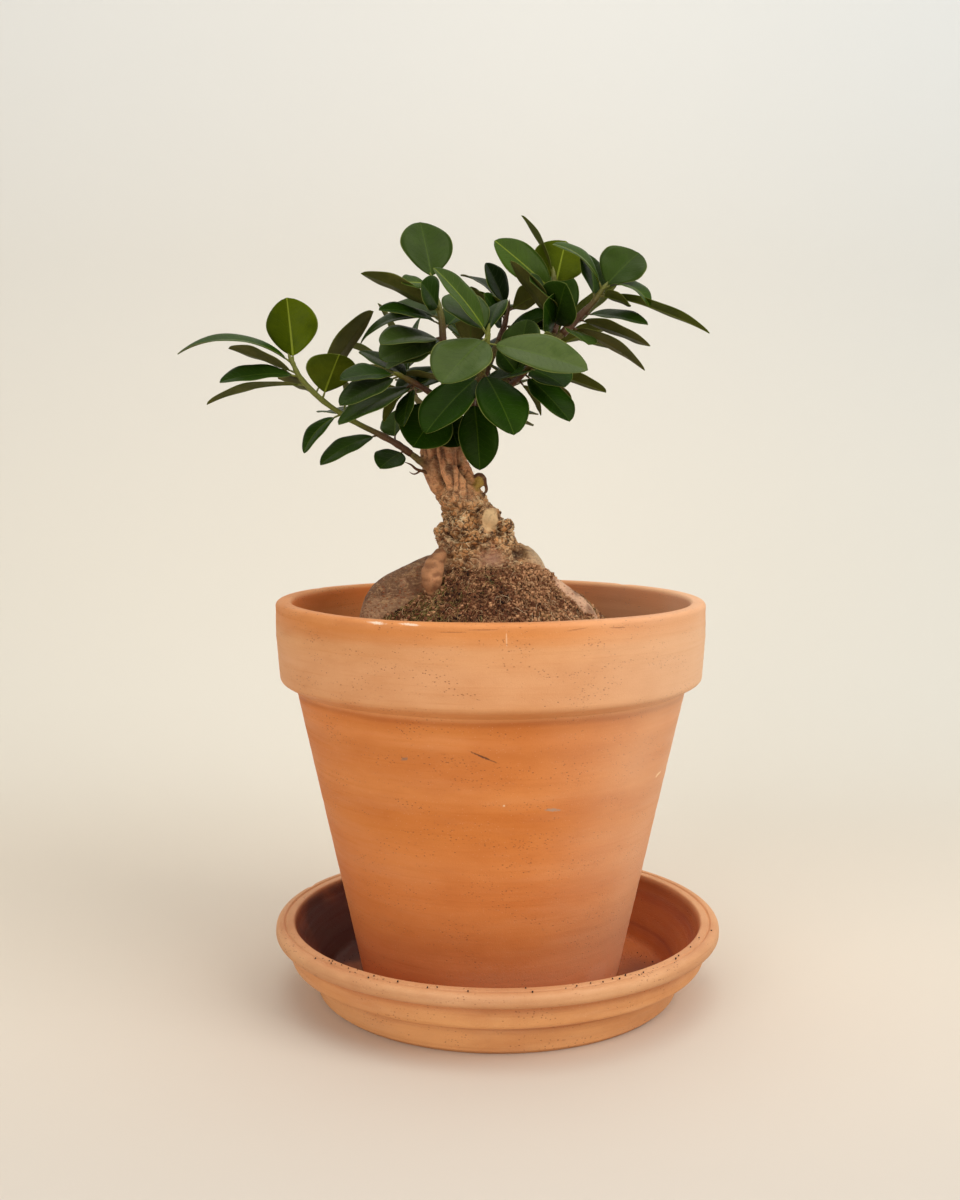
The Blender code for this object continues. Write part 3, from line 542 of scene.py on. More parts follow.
# The dark ones, on the inner wall at the left and in the well at the right, are partly water stains and
# partly painted shadow of the pot.
SAUCER_STAINS_AND_SHADE = [
    ((-92.0, 34.0, 22.0), (66.0, 96.0, 56.0), (66, 12, 0), 0.92),
    ((-88.0, -22.0, 7.0), (30.0, 34.0, 8.0), (206, 124, 84), 0.9),
    ((94.0, -20.0, 8.0), (30.0, 60.0, 8.0), (100, 40, 16), 0.7),
]
saucer_clay = clay_finish("saucer_clay", srgb(214, 146, 96), srgb(186, 112, 66),
                          srgb(228, 180, 142), 0.25, 0.35, SAUCER_TONES, 44.0,
                          (0.58, 0.31, 0.14, 1.0), SAUCER_STAINS_AND_SHADE, SAUCER_MARKS)
lip_starts = travel[saucer_points[:, 2] > SAUCER_TOP - 1].min()
make_piece("saucer_thrown", saucer_points, saucer_faces, [saucer_clay], "terracotta", ["saucer"],
           values={"inner": ramp(travel, lip_starts + 1, lip_starts - 3), "painted_sheen": 0 * travel})


# The pot is a thrown terracotta flower pot with a deep collar and a drainage hole in its foot.
# It was fired standing in a stack, so its colour goes in bands, and its collar has a dry bloom.
# It stands loose in the saucer.
POT_RIM_RADIUS = 125.0
POT_TOP = 233.0
POT_COLLAR_FOOT = 185.5
POT_COLLAR_WALL = 9.0
POT_SHOULDER_RADIUS = 112.6
POT_SHOULDER = 176.0
POT_BASE_RADIUS = 76.0
POT_WALL = 8.0
POT_FLOOR = 9.0
POT_FOOT = SAUCER_FLOOR + 0.35
POT_LIP_FILLET = 2.7
POT_EDGE_FILLET = 4.0
COLLAR_TAPER = 1.8
COLLAR_TAPER_HEIGHT = 25.5
COLLAR_UNDERCUT = 3.0
COLLAR_LEDGE = 1.5
INNER_STEP = 4.0
INNER_LIP_DRAFT = 2.5
DRAIN_HOLE_RADIUS = 9.0


def pot_inner_radius(height):
    """The radius of the pot's inside at a height."""
    heights = (POT_FOOT + POT_FLOOR, POT_SHOULDER - INNER_STEP, POT_COLLAR_FOOT + INNER_STEP,
               POT_TOP)
    mouth = POT_RIM_RADIUS - POT_COLLAR_WALL
    radii = (POT_BASE_RADIUS - POT_WALL + 2, POT_SHOULDER_RADIUS - POT_WALL,
             mouth - INNER_LIP_DRAFT, mouth)
    return np.interp(height, heights, radii)


inner_foot = POT_FOOT + POT_FLOOR
taper_foot = POT_COLLAR_FOOT + 2
seen_corners = [
    (pot_inner_radius(200.0), 200.0, 0),
    (pot_inner_radius(POT_TOP), POT_TOP, POT_LIP_FILLET),
    (POT_RIM_RADIUS, POT_TOP, POT_LIP_FILLET),
    (POT_RIM_RADIUS, taper_foot + COLLAR_TAPER_HEIGHT, 0),
    (POT_RIM_RADIUS - COLLAR_TAPER, taper_foot, POT_EDGE_FILLET),
    (POT_SHOULDER_RADIUS + COLLAR_LEDGE, POT_COLLAR_FOOT - COLLAR_UNDERCUT, 0.8),
    (POT_SHOULDER_RADIUS, POT_SHOULDER, POT_EDGE_FILLET),
    (POT_BASE_RADIUS, POT_FOOT, POT_EDGE_FILLET),
    (POT_BASE_RADIUS - 5, POT_FOOT, 0),
]
hidden_corners = [
    (POT_BASE_RADIUS - 5, POT_FOOT, 0),
    (DRAIN_HOLE_RADIUS, POT_FOOT, 0),
    (DRAIN_HOLE_RADIUS, inner_foot, 0),
    (pot_inner_radius(inner_foot) - 3, inner_foot, 0),
    (pot_inner_radius(inner_foot + 3), inner_foot + 3, 0),
    (pot_inner_radius(POT_SHOULDER - INNER_STEP), POT_SHOULDER - INNER_STEP, 0),
    (pot_inner_radius(POT_COLLAR_FOOT + INNER_STEP), POT_COLLAR_FOOT + INNER_STEP, 0),
    (pot_inner_radius(200.0), 200.0, 0),
]
pot_outline = np.vstack([resampled(rounded_outline(seen_corners), CLAY_SPACING)[:-1],
                         resampled(rounded_outline(hidden_corners), HIDDEN_SPACING)[:-1]])
pot_points, pot_faces, normals, travel = turned_surface(pot_outline, CLAY_STEPS)
proud = thrown_relief(pot_points, travel, 11)
proud *= ramp(pot_points[:, 2], POT_FOOT + 0.5, POT_FOOT + 6)
LINE_UNDER_RIM = 227.5
COLLAR_LINE = 203.0
outside = pot_points[:, 0] ** 2 + pot_points[:, 1] ** 2 > 121.0 ** 2
for line_height, depth in ((LINE_UNDER_RIM, 0.22), (COLLAR_LINE, 0.14)):
    proud -= outside * depth * np.exp(-((pot_points[:, 2] - line_height) / 0.9) ** 2)
pot_points = pot_points + normals * proud[:, None]
POT_NICKS = [(-61.0, -109.0, 232.8, 2.8, 0.7), (-46.0, -116.0, 232.8, 2.4, 0.6),
             (88.0, 88.0, 232.5, 3.2, 1.0), (-110.0, 60.0, 232.5, 2.6, 0.8),
             (119.0, -36.0, 186.5, 2.8, 0.9), (20.0, 123.0, 232.6, 2.4, 0.7)]
pot_points = nicked(pot_points, POT_NICKS)


# The dark tone at 182 mm is painted shade under the collar's ledge.
POT_TONES = [
    (0.0, 1.08, 1.1, 1.44), (18.0, 1.12, 1.15, 1.6), (40.0, 1.03, 1.04, 1.36),
    (62.0, 0.98, 0.95, 1.0), (80.0, 0.99, 0.94, 0.9), (100.0, 1.03, 1.04, 1.05),
    (108.0, 1.02, 1.0, 0.9), (118.0, 0.98, 0.93, 0.72), (130.0, 0.95, 0.87, 0.62),
    (136.0, 1.0, 0.98, 0.86), (140.0, 1.06, 1.12, 1.16), (156.0, 1.0, 0.98, 0.86),
    (164.0, 0.97, 0.94, 0.8), (172.0, 1.08, 1.13, 1.14), (179.0, 0.98, 0.96, 0.78),
    (182.0, 0.8, 0.72, 0.56), (184.5, 1.04, 1.3, 1.8), (194.0, 1.07, 1.54, 2.8),
    (206.0, 1.09, 1.58, 2.9), (220.0, 1.07, 1.52, 2.6), (225.0, 1.04, 1.28, 1.7),
    (229.0, 1.04, 1.18, 1.3), (236.0, 1.08, 1.3, 1.7),
]
POT_MARKS = [
    ((7.0, -124.0, 225.0), (0.6, 8.0, 6.5), 2, (248, 210, 172), 0.45, 0.2),
    ((-5.0, -124.0, 230.0), (13.0, 8.0, 0.6), 1, (140, 78, 44), 0.4, -0.6),
    ((42.0, -117.0, 229.2), (9.0, 8.0, 0.6), 6, (150, 86, 50), 0.35, -0.5),
    ((-5.0, -109.0, 162.0), (12.0, 6.0, 0.9), -24, (90, 54, 38), 0.85, -1.0),
    ((-46.0, -98.5, 158.5), (3.2, 6.0, 1.5), 20, (142, 116, 96), 0.7, 0.0),
    ((32.0, -97.5, 131.0), (6.5, 6.0, 1.5), -6, (168, 150, 132), 0.7, 0.0),
    ((6.2, -103.3, 134.6), (1.0, 5.0, 1.0), 0, (240, 204, 164), 0.8, 0.3),
    ((94.0, -45.0, 138.0), (6.0, 9.0, 1.3), 20, (250, 208, 160), 0.9, 0.3),
    ((-62.0, -110.0, 231.8), (13.0, 6.0, 1.3), -3, (250, 226, 200), 0.95, 0.2),
    ((-42.0, -117.0, 231.8), (9.0, 6.0, 1.0), -2, (250, 222, 194), 0.85, 0.2),
    ((-20.0, -122.0, 228.6), (12.0, 8.0, 0.5), 1, (136, 74, 40), 0.4, -0.6),
    ((64.0, -107.0, 229.0), (10.0, 8.0, 0.6), -3, (136, 74, 40), 0.45, -0.6),
    ((60.0, -52.0, 24.0), (17.0, 20.0, 12.0), -20, (232, 180, 146), 0.25, 0.0),
    ((12.0, -80.0, 26.0), (60.0, 30.0, 22.0), 0, (222, 160, 122), 0.22, 0.0),
]
pot_clay = clay_finish("pot_clay", srgb(218, 133, 68), srgb(198, 109, 46),
                       srgb(232, 174, 132), 0.12, 0.5, POT_TONES, 236.0,
                       (1.12, 0.8, 0.54, 1.0), [], POT_MARKS)
rim_starts = travel[pot_points[:, 2] > POT_TOP - 1].min()
# Painted sheen: the pot is painted paler towards its right side, where the key light falls.
painted_sheen = 0.5 * ramp(pot_points[:, 0], 10, 118) * (0.8 + 0.2 * lattice_noise(pot_points, 25, 12))
make_piece("pot_thrown", pot_points, pot_faces, [pot_clay], "terracotta", ["pot"],
           values={"inner": ramp(travel, rim_starts, rim_starts - 2), "painted_sheen": painted_sheen})


# The trunk is the swollen, grafted root stock of a ginseng ficus: a barked bole on bare surface
# roots, a neck of fused stems, and the woody branches that bear the shoots. It is one living
# piece of wood, rooted in the soil.
LIMBS = {
    "bole": [[(-4, 2, 208, 24), (-5, 0, 228, 34), (-5, 0, 246, 28), (-7, 0, 259, 24),
              (-11, 0, 270, 20), (-13, 0, 281, 16), (-16, 0, 289, 13.5), (-21, 0, 299, 12)]],
    "neck": [[(-22, 0, 294, 10), (-31, -1, 307, 8), (-35, -1, 319, 6.5)],
             [(-17, -5, 294, 9), (-24, -8, 308, 6), (-26, -8, 321, 5.5)],
             [(-13, 0, 292, 8.5), (-17, -2, 304, 7), (-20, -1, 314, 5.8), (-21, 0, 323, 5.5)],
             [(-20, 5, 294, 9), (-24, 7, 307, 8), (-26, 6, 319, 7)]],
    "left root": [[(-20, -6, 245, 17), (-36, -10, 241.5, 16.5), (-50, -14, 236, 15.5),
                   (-60, -17, 229, 14), (-66, -19, 217, 11), (-69, -20, 205, 8)]],
    "right root": [[(0, -2, 240, 15), (18, -9, 243, 10), (32, -16, 239, 9), (41, -20, 233, 9),
                    (50, -23, 226, 8.5), (56, -24, 218.5, 7.5), (59, -25, 206, 5)]],
    "looped root": [[(4, 8, 256, 9), (14, 4, 260.5, 6), (22, -3, 257, 5.5), (27, -8, 249, 5.5),
                     (29, -12, 242, 5.5)]],
    "other roots": [[(-14, 10, 248, 14), (-28, 26, 232, 10), (-37, 40, 214, 8), (-40, 46, 206, 6)],
                    [(2, 14, 248, 13), (16, 30, 231, 10), (23, 42, 214, 8), (26, 48, 206, 6)],
                    [(-4, -14, 244, 14), (-6, -32, 228, 10), (-5, -44, 214, 8),
                     (-4, -50, 206, 6)]],
    "drop root": [[(-29, -20, 260, 4), (-32.5, -27, 254, 5.8), (-33.5, -31, 246.5, 5.9),
                   (-32.5, -30.5, 239.5, 3.6)]],
    "stub": [[(-11, -5, 296, 2.6), (-7.4, -6.5, 299.5, 2.8), (-6.8, -6.5, 302, 2.2)]],
    "hook": [[(-9, -6, 304.5, 1.2), (-6.4, -6.5, 305.5, 1.4), (-3.8, -6.5, 303.5, 1.3),
              (-3, -6.5, 300, 1.2), (-2.6, -6.5, 296.5, 1.2), (-4, -6, 294, 1.1)]],
}
KNOBS = [
    (-1, -14, 280, 7), (7, -9, 274.5, 6),
    (-26.5, -8, 271, 7), (-24, -10, 262, 6.5), (-13, -14, 286, 6), (-16, -17, 274, 7),
    (-6, -19, 269, 7), (-22, -11, 292, 6), (-30, -4, 299, 5.5), (-18, 12, 284, 7),
    (-4, 14, 274, 8), (-22, 14, 266, 8), (8, 10, 266, 7), (-28, 7, 298, 6),
]
# Each branch: its path to where the green stem starts, the stem's next point, and its radii.
BRANCHES = {
    "shoot_left": ([(-28, -2, 304), (-38, -6, 311), (-47, -9, 318)], (-54, -11, 323), 2.8, 1.9),
    "shoot_left_inner": ([(-29, -2, 314), (-32, -8, 334), (-33, -15, 346), (-35, -23, 352)],
                         (-40, -32, 355), 3.4, 1.8),
    "shoot_centre_left": ([(-27, 0, 314), (-27, -6, 345), (-26, -14, 366)], (-27, -18, 378),
                          3.8, 2.0),
    "shoot_front": ([(-22, -2, 314), (-16, -10, 332), (-11, -22, 344)], (-9, -34, 354), 3.6, 2.0),
    "shoot_front_low": ([(-26, -4, 312), (-26, -8, 326), (-26, -13, 336)], (-26, -19, 342),
                        3.0, 1.8),
    "shoot_right_tip": ([(-20, 0, 314), (-8, 0, 343), (12, 0, 361), (28, 1, 376), (42, 2, 387)],
                        (51, 2, 396), 4.4, 2.0),
    "shoot_right_top": ([(26, 1, 374), (32, 6, 381), (37, 11, 388)], (39, 15, 399), 2.8, 1.8),
    "shoot_right_low": ([(4, 0, 354), (8, -5, 355), (12, -12, 357)], (17, -22, 361), 2.8, 1.7),
    "shoot_centre_back": ([(-14, 3, 334), (-8, 10, 352), (-1, 14, 370), (5, 16, 384)],
                          (8, 20, 392), 3.2, 1.8),
    "shoot_back_left": ([(-28, 3, 314), (-34, 14, 332), (-40, 26, 344), (-46, 36, 352)],
                        (-52, 46, 360), 3.2, 1.8),
    "shoot_back": ([(-24, 4, 316), (-20, 20, 342), (-17, 34, 358), (-14, 46, 370)],
                   (-12, 56, 382), 3.2, 1.8),
    "shoot_back_right": ([(8, 2, 358), (20, 14, 366), (28, 26, 372), (36, 38, 380)],
                         (42, 48, 386), 3.0, 1.8),
    "shoot_back_low": ([(-22, 6, 312), (-18, 18, 322), (-13, 32, 333)], (-9, 46, 338), 3.0, 1.8),
}
DEAD_TWIGS = [
    [(-33, -5, 304.5, 1.2), (-38.5, -6, 307, 0.95), (-43, -7, 308.5, 0.8), (-46, -7.5, 311, 0.55),
     (-49.5, -8, 312.5, 0.2)],
    [(-40.5, -6.5, 307.8, 0.7), (-43, -8, 306, 0.5), (-45, -8.5, 305.8, 0.35), (-47, -9, 307, 0.15)],
]
SPAN_SAMPLES = 8
LIMB_SIDES = 20
BRANCH_GAP = 0.35
BRANCH_END_SHARE = 0.15
SKIN_VOXEL = 0.85
SKIN_SMOOTHING = 6
SKIN_BLEND = 2.2


def smooth_path(points, samples):
    """A Catmull-Rom curve: on each span from b to c, with a before it and d after it,
    (2b + (c - a) t + (2a - 5b + 4c - d) t^2 + (3b - a - 3c + d) t^3) / 2."""
    points = np.array(points, dtype=float)
    padded = np.vstack([2 * points[0] - points[1], points, 2 * points[-1] - points[-2]])
    before, start, end, after = (padded[k:len(padded) - 3 + k, None] for k in range(4))
    t = (np.arange(samples) / samples)[None, :, None]
    curve = 0.5 * (2 * start + (end - before) * t + (2 * before - 5 * start + 4 * end - after) * t ** 2
                   + (3 * start - before - 3 * end + after) * t ** 3)
    return np.vstack([curve.reshape(-1, points.shape[1]), points[-1:]])


def swept(paths, radii, sides):
    """Closed round tubes: each ring is p + r (cos a e1 + sin a e2), with e1 square to the path
    and to the tube's own guide axis, and e2 square to both. Fans close the ends."""
    ahead = np.gradient(paths, axis=1)
    ahead /= np.linalg.norm(ahead, axis=2, keepdims=True)
    guide = np.eye(3)[np.argmin(np.abs(paths[:, -1] - paths[:, 0]), axis=1)]
    first = np.cross(ahead, guide[:, None])
    first /= np.linalg.norm(first, axis=2, keepdims=True)
    second = np.cross(first, ahead)
    angle = np.arange(sides) * (2 * np.pi / sides)
    around = (np.cos(angle)[:, None] * first[:, :, None] + np.sin(angle)[:, None] * second[:, :, None])
    rings = paths[:, :, None] + radii[:, :, None, None] * around
    tubes, rows = radii.shape
    body = rings.reshape(tubes, -1, 3)
    points = np.concatenate([body, paths[:, :1], paths[:, -1:]], axis=1).reshape(-1, 3)
    start, finish = rows * sides, rows * sides + 1
    side = np.arange(sides)
    following = (side + 1) % sides
    end = (rows - 1) * sides
    fans = np.vstack([np.stack([np.full(sides, start), side, following], axis=1),
                      np.stack([np.full(sides, finish), end + following, end + side], axis=1)])
    offset = (np.arange(tubes) * (rows * sides + 2))[:, None, None]
    return points, [(grid_faces(rows, sides) + offset).reshape(-1, 4),
                    (fans + offset).reshape(-1, 3)]


def stacked(pieces):
    """Several (points, faces) put into one, with their face numbers moved on."""
    points = np.vstack([piece[0] for piece in pieces])
    firsts = np.cumsum([0] + [len(piece[0]) for piece in pieces[:-1]])
    return points, [block + first for piece, first in zip(pieces, firsts) for block in piece[1]]


def melted(points, faces, voxel, smoothing):
    """One skin round overlapping closed shapes, by a voxel remesh that is then smoothed: its
    points, its faces and its point normals."""
    made = make_piece("melting", points, faces, [], "bark")
    melt = made.modifiers.new("Melt", "REMESH")
    melt.mode = "VOXEL"
    melt.voxel_size = voxel * MM
    soften = made.modifiers.new("Soften", "SMOOTH")
    soften.iterations = smoothing
    graph = bpy.context.evaluated_depsgraph_get()
    skin = bpy.data.meshes.new_from_object(made.evaluated_get(graph))
    old = made.data
    bpy.data.objects.remove(made)
    bpy.data.meshes.remove(old)

    def read(items, label, width=1, kind=int):
        """One value of every item, or a vector's parts, in a single row."""
        values = np.empty(len(items) * width, dtype=kind)
        items.foreach_get(label, values)
        return values

    skin_points = read(skin.vertices, "co", 3, float).reshape(-1, 3) / MM
    skin_normals = read(skin.vertex_normals, "vector", 3, float).reshape(-1, 3)
    sizes = read(skin.polygons, "loop_total")
    starts = read(skin.polygons, "loop_start")
    corners = read(skin.loops, "vertex_index")
    bpy.data.meshes.remove(skin)
    blocks = [corners[starts[sizes == size][:, None] + np.arange(size)]
              for size in (3, 4) if (sizes == size).any()]
    return skin_points, blocks, skin_normals


def clearance(points, path):
    """How far points lie outside a limb: the least distance to its balls, less their radii."""
    nearest = np.full(len(points), np.inf)
    for *centre, radius in path:
        nearest = np.minimum(nearest, np.linalg.norm(points - centre, axis=1) - radius)
    return nearest


def ball(centre, radius):
    """A round ball of 12 by 16 faces."""
    arc = np.linspace(0, np.pi, 13)
    points, faces, _, _ = turned_surface(np.stack([np.sin(arc) * (arc < 3.1), np.cos(arc)], axis=1), 16)
    return points * radius + centre, faces


limb_paths = {kind: [smooth_path(limb, SPAN_SAMPLES) for limb in limbs]
              for kind, limbs in LIMBS.items()}
branch_paths = {}
for name, (points, beyond, thick, thin) in BRANCHES.items():
    path = smooth_path(points + [beyond], SPAN_SAMPLES)[:(len(points) - 1) * SPAN_SAMPLES + 1]
    along = path[-1] - path[-2]
    path[-1] -= along / np.linalg.norm(along) * (BRANCH_GAP + BRANCH_END_SHARE * thin)
    branch_paths[name] = np.column_stack([path, np.linspace(thick, thin, len(path))])
all_paths = [path for paths in limb_paths.values() for path in paths]
all_paths += branch_paths.values()
thick_paths = [path for kind, paths in limb_paths.items() if kind not in ("stub", "hook")
               for path in paths]
shapes = [swept(path[None, :, :3], path[None, :, 3], LIMB_SIDES) for path in all_paths]
ends = [tuple(limb[k]) for limbs in LIMBS.values() for limb in limbs for k in (0, -1)]
shapes += [ball(knob[:3], knob[3]) for knob in ends + KNOBS]
skin, skin_faces, skin_normals = melted(*stacked(shapes), SKIN_VOXEL, SKIN_SMOOTHING)
twig_paths = [smooth_path(twig, SPAN_SAMPLES) for twig in DEAD_TWIGS]

closeness = {kind: np.min([clearance(skin, path) for path in paths], axis=0)
             for kind, paths in limb_paths.items()}
closeness["twigs"] = np.min([clearance(skin, path) for path in branch_paths.values()], axis=0) + 0.6
kinds_of_skin = list(closeness)
weight = np.exp(-np.clip(np.stack([closeness[kind] for kind in kinds_of_skin]), -3, 40) / SKIN_BLEND)
weight /= weight.sum(axis=0)
share = dict(zip(kinds_of_skin, weight))


def leaning_plates(points, normals, cell, seed):
    """Overlapping plates of bark: every cube of a cell's size holds one middle, and each point
    belongs to its nearest one. A plate leans, so it stands up at one side, mostly its upper
    one, and dips at the other. Gives the lean, from about -0.6 to 0.6, and how near the plate's
    border is, from 0 inside to 1 at it."""
    place = points / cell
    corner = np.floor(place).astype(np.int64)
    near = np.full(len(place), np.inf)
    next_near = near.copy()
    offset = np.zeros_like(place)
    turn = np.zeros(len(place))
    for step in np.ndindex(3, 3, 3):
        cube = corner + step - 1
        middle = cube + 0.5 + 0.4 * np.stack([drawn(cube, seed + k) for k in range(3)], axis=1)
        apart = place - middle
        distance = np.linalg.norm(apart, axis=1)
        closer = distance < near
        next_near = np.where(closer, near, np.minimum(next_near, distance))
        near = np.where(closer, distance, near)
        offset = np.where(closer[:, None], apart, offset)
        turn = np.where(closer, 1.2 * drawn(cube, seed + 3), turn)
    sideways = np.stack([-normals[:, 1], normals[:, 0]], axis=1)
    sideways /= np.linalg.norm(sideways, axis=1, keepdims=True) + 1e-6
    lean = np.cos(turn) * offset[:, 2] + np.sin(turn) * np.sum(offset[:, :2] * sideways, axis=1)
    return lean, ramp(next_near - near, 0.4, 0.05)


x, y, z = skin.T
low_bole = share["bole"] * ramp(z, 302, 290)
grooved = share["neck"] + share["bole"] * ramp(z, 290, 302)
smooth_roots = share["left root"] + share["right root"] + share["other roots"] * 0.8
wander = np.stack([lattice_noise(skin, 4, 31 + k) for k in range(3)], axis=1)
squat = (skin + 1.5 * wander) * (1, 1, 1.3)
lean, border = leaning_plates(squat, skin_normals, 6.4, 35)
small_lean, _ = leaning_plates(squat, skin_normals, 3.4, 45)
curled = ramp(lean, 0.02, 0.3) * border
sunk = ramp(lean, 0.05, -0.25) * border
relief = low_bole * (1.5 * lattice_noise(skin, 9, 21) + 0.8 * lattice_noise(skin, 5, 22)
                     + 1.3 * lean + 0.7 * curled - 0.5 * sunk + 0.5 * small_lean - 0.7)

# The neck is a bundle of stems: where two of them are as near as each other there is a cleft.
neck_gaps = np.sort([clearance(skin, path) for path in limb_paths["neck"]], axis=0)
cleft = np.exp(-((neck_gaps[1] - neck_gaps[0]) / 1.3) ** 2) * ramp(z, 293, 301) * grooved
strands = np.stack([x / 4.0, y / 4.0, z / 20], axis=1) + 0.2 * wander
strand_noise = lattice_noise(strands, 1, 24)
furrow = np.exp(-(strand_noise / 0.14) ** 2)
relief += grooved * (0.2 - 1.3 * furrow + 0.5 * lattice_noise(skin, 6, 19) + 0.3 * small_lean)
relief -= 3.0 * cleft
relief += smooth_roots * (0.9 * lattice_noise(skin, 16, 26) + 0.3 * lattice_noise(skin, 4, 27))
relief += share["looped root"] * 0.5 * lattice_noise(skin, 5, 28)
wrinkles = np.stack([x / 9, y / 9, z / 2.6], axis=1) + 0.4 * wander
relief += share["drop root"] * (0.5 * lattice_noise(wrinkles, 1, 29) + 0.3 * lattice_noise(skin, 4, 18))
relief += share["twigs"] * 0.2 * lattice_noise(skin, 2.4, 30)

# The healed cut on the front of the bole, its lobe, and the hollow under the looped root.
SCAR_CENTRE = (-0.6, 279.8)
SCAR_REACH = (5.7, 7.7)
in_front = ramp(y, -8, -12)
scar_reach = np.hypot((x - SCAR_CENTRE[0]) / SCAR_REACH[0], (z - SCAR_CENTRE[1]) / SCAR_REACH[1])
scar_rim = in_front * np.exp(-((scar_reach - 1) / 0.2) ** 2)
scar_face = in_front * ramp(scar_reach, 0.95, 0.75)
relief = relief * (1 - 0.85 * scar_face) + 1.1 * scar_rim - 0.3 * scar_face
hollow = np.exp(-(np.linalg.norm((skin - (16.2, -8.0, 259.8)) / (3.6, 14.0, 4.2), axis=1)) ** 2)
beside_drop = np.exp(-(np.linalg.norm((skin - (-25.2, -26.0, 249.5)) / (2.4, 9.0, 7.0), axis=1)) ** 2)
hollow = np.maximum(hollow, beside_drop * (1 - share["drop root"]))
relief -= 3.0 * hollow
skin = skin + skin_normals * relief[:, None]

SKIN_TINTS = {
    "bole": (248, 178, 110), "neck": (236, 166, 118), "left root": (126, 88, 60),
    "right root": (218, 172, 138), "looped root": (182, 156, 122), "other roots": (140, 104, 76),
    "drop root": (186, 130, 88), "stub": (170, 136, 58), "hook": (84, 50, 28),
    "twigs": (92, 56, 34),
}
SCAR_TINT = (222, 184, 134)
SCAR_RIM_TINT = (206, 150, 98)
GREEN_WOOD_TINT = (112, 100, 54)
DEAD_TWIG_TINT = (112, 74, 46)
RUST_TINT = (156, 82, 42)
PLUM_TINT = (184, 132, 104)
# The flake tint is partly the flakes' paler colour and partly a painted highlight.
FLAKE_HIGHLIGHT_TINT = (244, 204, 150)
# The cleft tint is painted shade.
CLEFT_SHADE_TINT = (48, 24, 12)
SMOOTH_PATCH_TINT = (188, 142, 116)
PALE_ROOT_TINT = (210, 166, 126)
ROOT_BLOTCH_TINT = (104, 64, 40)
ROOT_BLOOM_TINT = (186, 142, 106)
# The wrinkle tint is painted shade.
WRINKLE_SHADE_TINT = (104, 58, 32)
# The hollow tint is painted shade.
HOLLOW_SHADE_TINT = (34, 18, 11)


def tint(colour):
    """A screen colour as a linear one, without its alpha."""
    return np.array(srgb(*colour)[:3])


skin_colour = sum(part[:, None] * tint(SKIN_TINTS[kind]) for kind, part in share.items())
branch_ends = np.array([path[-1, :3] for path in branch_paths.values()])
end_reach = np.min(np.linalg.norm(skin[:, None] - branch_ends[None], axis=2), axis=1)
patches = lattice_noise(skin, 12, 41)
smooth_patch = np.exp(-((x - 1) / 10) ** 2 - ((z - 258) / 6) ** 2) * in_front
barky = low_bole * (1 - scar_face) * (1 - smooth_patch)
# A painted shade line just outside the scar's rim.
scar_shade_line = in_front * np.exp(-((scar_reach - 1.3) / 0.13) ** 2)
# What lies over the wood's own tone, from the first layer to the last: a mask and a colour.
tint_layers = [
    (share["twigs"] * ramp(end_reach, 26, 4), GREEN_WOOD_TINT),
    (ramp(closeness["stub"], 0.9, 0.0), SKIN_TINTS["stub"]),
    (ramp(closeness["hook"], 0.7, 0.0), SKIN_TINTS["hook"]),
    (0.7 * low_bole * ramp(patches, 0.15, 0.6), RUST_TINT),
    (0.6 * low_bole * ramp(patches, -0.15, -0.6), PLUM_TINT),
    (0.45 * grooved * ramp(patches, 0.1, 0.5), RUST_TINT),
    (0.85 * smooth_patch, SMOOTH_PATCH_TINT),
    # Pale raised flake edges, partly their colour and partly a painted highlight, and painted shade
    # where the plates dip.
    (0.7 * barky * curled, FLAKE_HIGHLIGHT_TINT),
    (0.8 * barky * sunk, CLEFT_SHADE_TINT),
    (0.7 * scar_rim, SCAR_RIM_TINT),
    (scar_face, SCAR_TINT),
    # Painted shade round the scar.
    (0.75 * scar_shade_line, CLEFT_SHADE_TINT),
    (0.75 * share["left root"] * ramp(z, 242, 219), PALE_ROOT_TINT),
    (0.6 * smooth_roots * ramp(lattice_noise(skin, 7, 42), 0.1, 0.6), ROOT_BLOTCH_TINT),
    (0.4 * smooth_roots * ramp(lattice_noise(skin, 5, 43), 0.15, 0.6), ROOT_BLOOM_TINT),
    # Painted shade in the drop root's wrinkles.
    (0.6 * share["drop root"] * ramp(lattice_noise(wrinkles, 1, 29), 0.1, -0.5), WRINKLE_SHADE_TINT),
    # Painted shade in the neck's furrows and in the clefts between its stems.
    (grooved * np.clip(0.85 * furrow + cleft, 0, 0.97), CLEFT_SHADE_TINT),
    # Painted shade in the hollow under the looped root and in the crevice beside the drop root.
    (0.9 * hollow, HOLLOW_SHADE_TINT),
]
for mask, colour in tint_layers:
    skin_colour = skin_colour + (tint(colour) - skin_colour) * mask[:, None]
skin_colour *= (1 + 0.2 * layered_noise(skin, 8, 3, 40))[:, None]
flaky = np.clip(barky + 0.2 * grooved * (1 - scar_face) + 0.05 * smooth_roots, 0, 1)
rough_bark = np.clip(low_bole + 0.7 * grooved + 0.5 * share["looped root"]
                     + 0.6 * share["left root"] + 0.25, 0, 1)
rough_bark *= 1 - scar_face
speckled = np.clip(smooth_roots + 0.4 * share["looped root"], 0, 1)


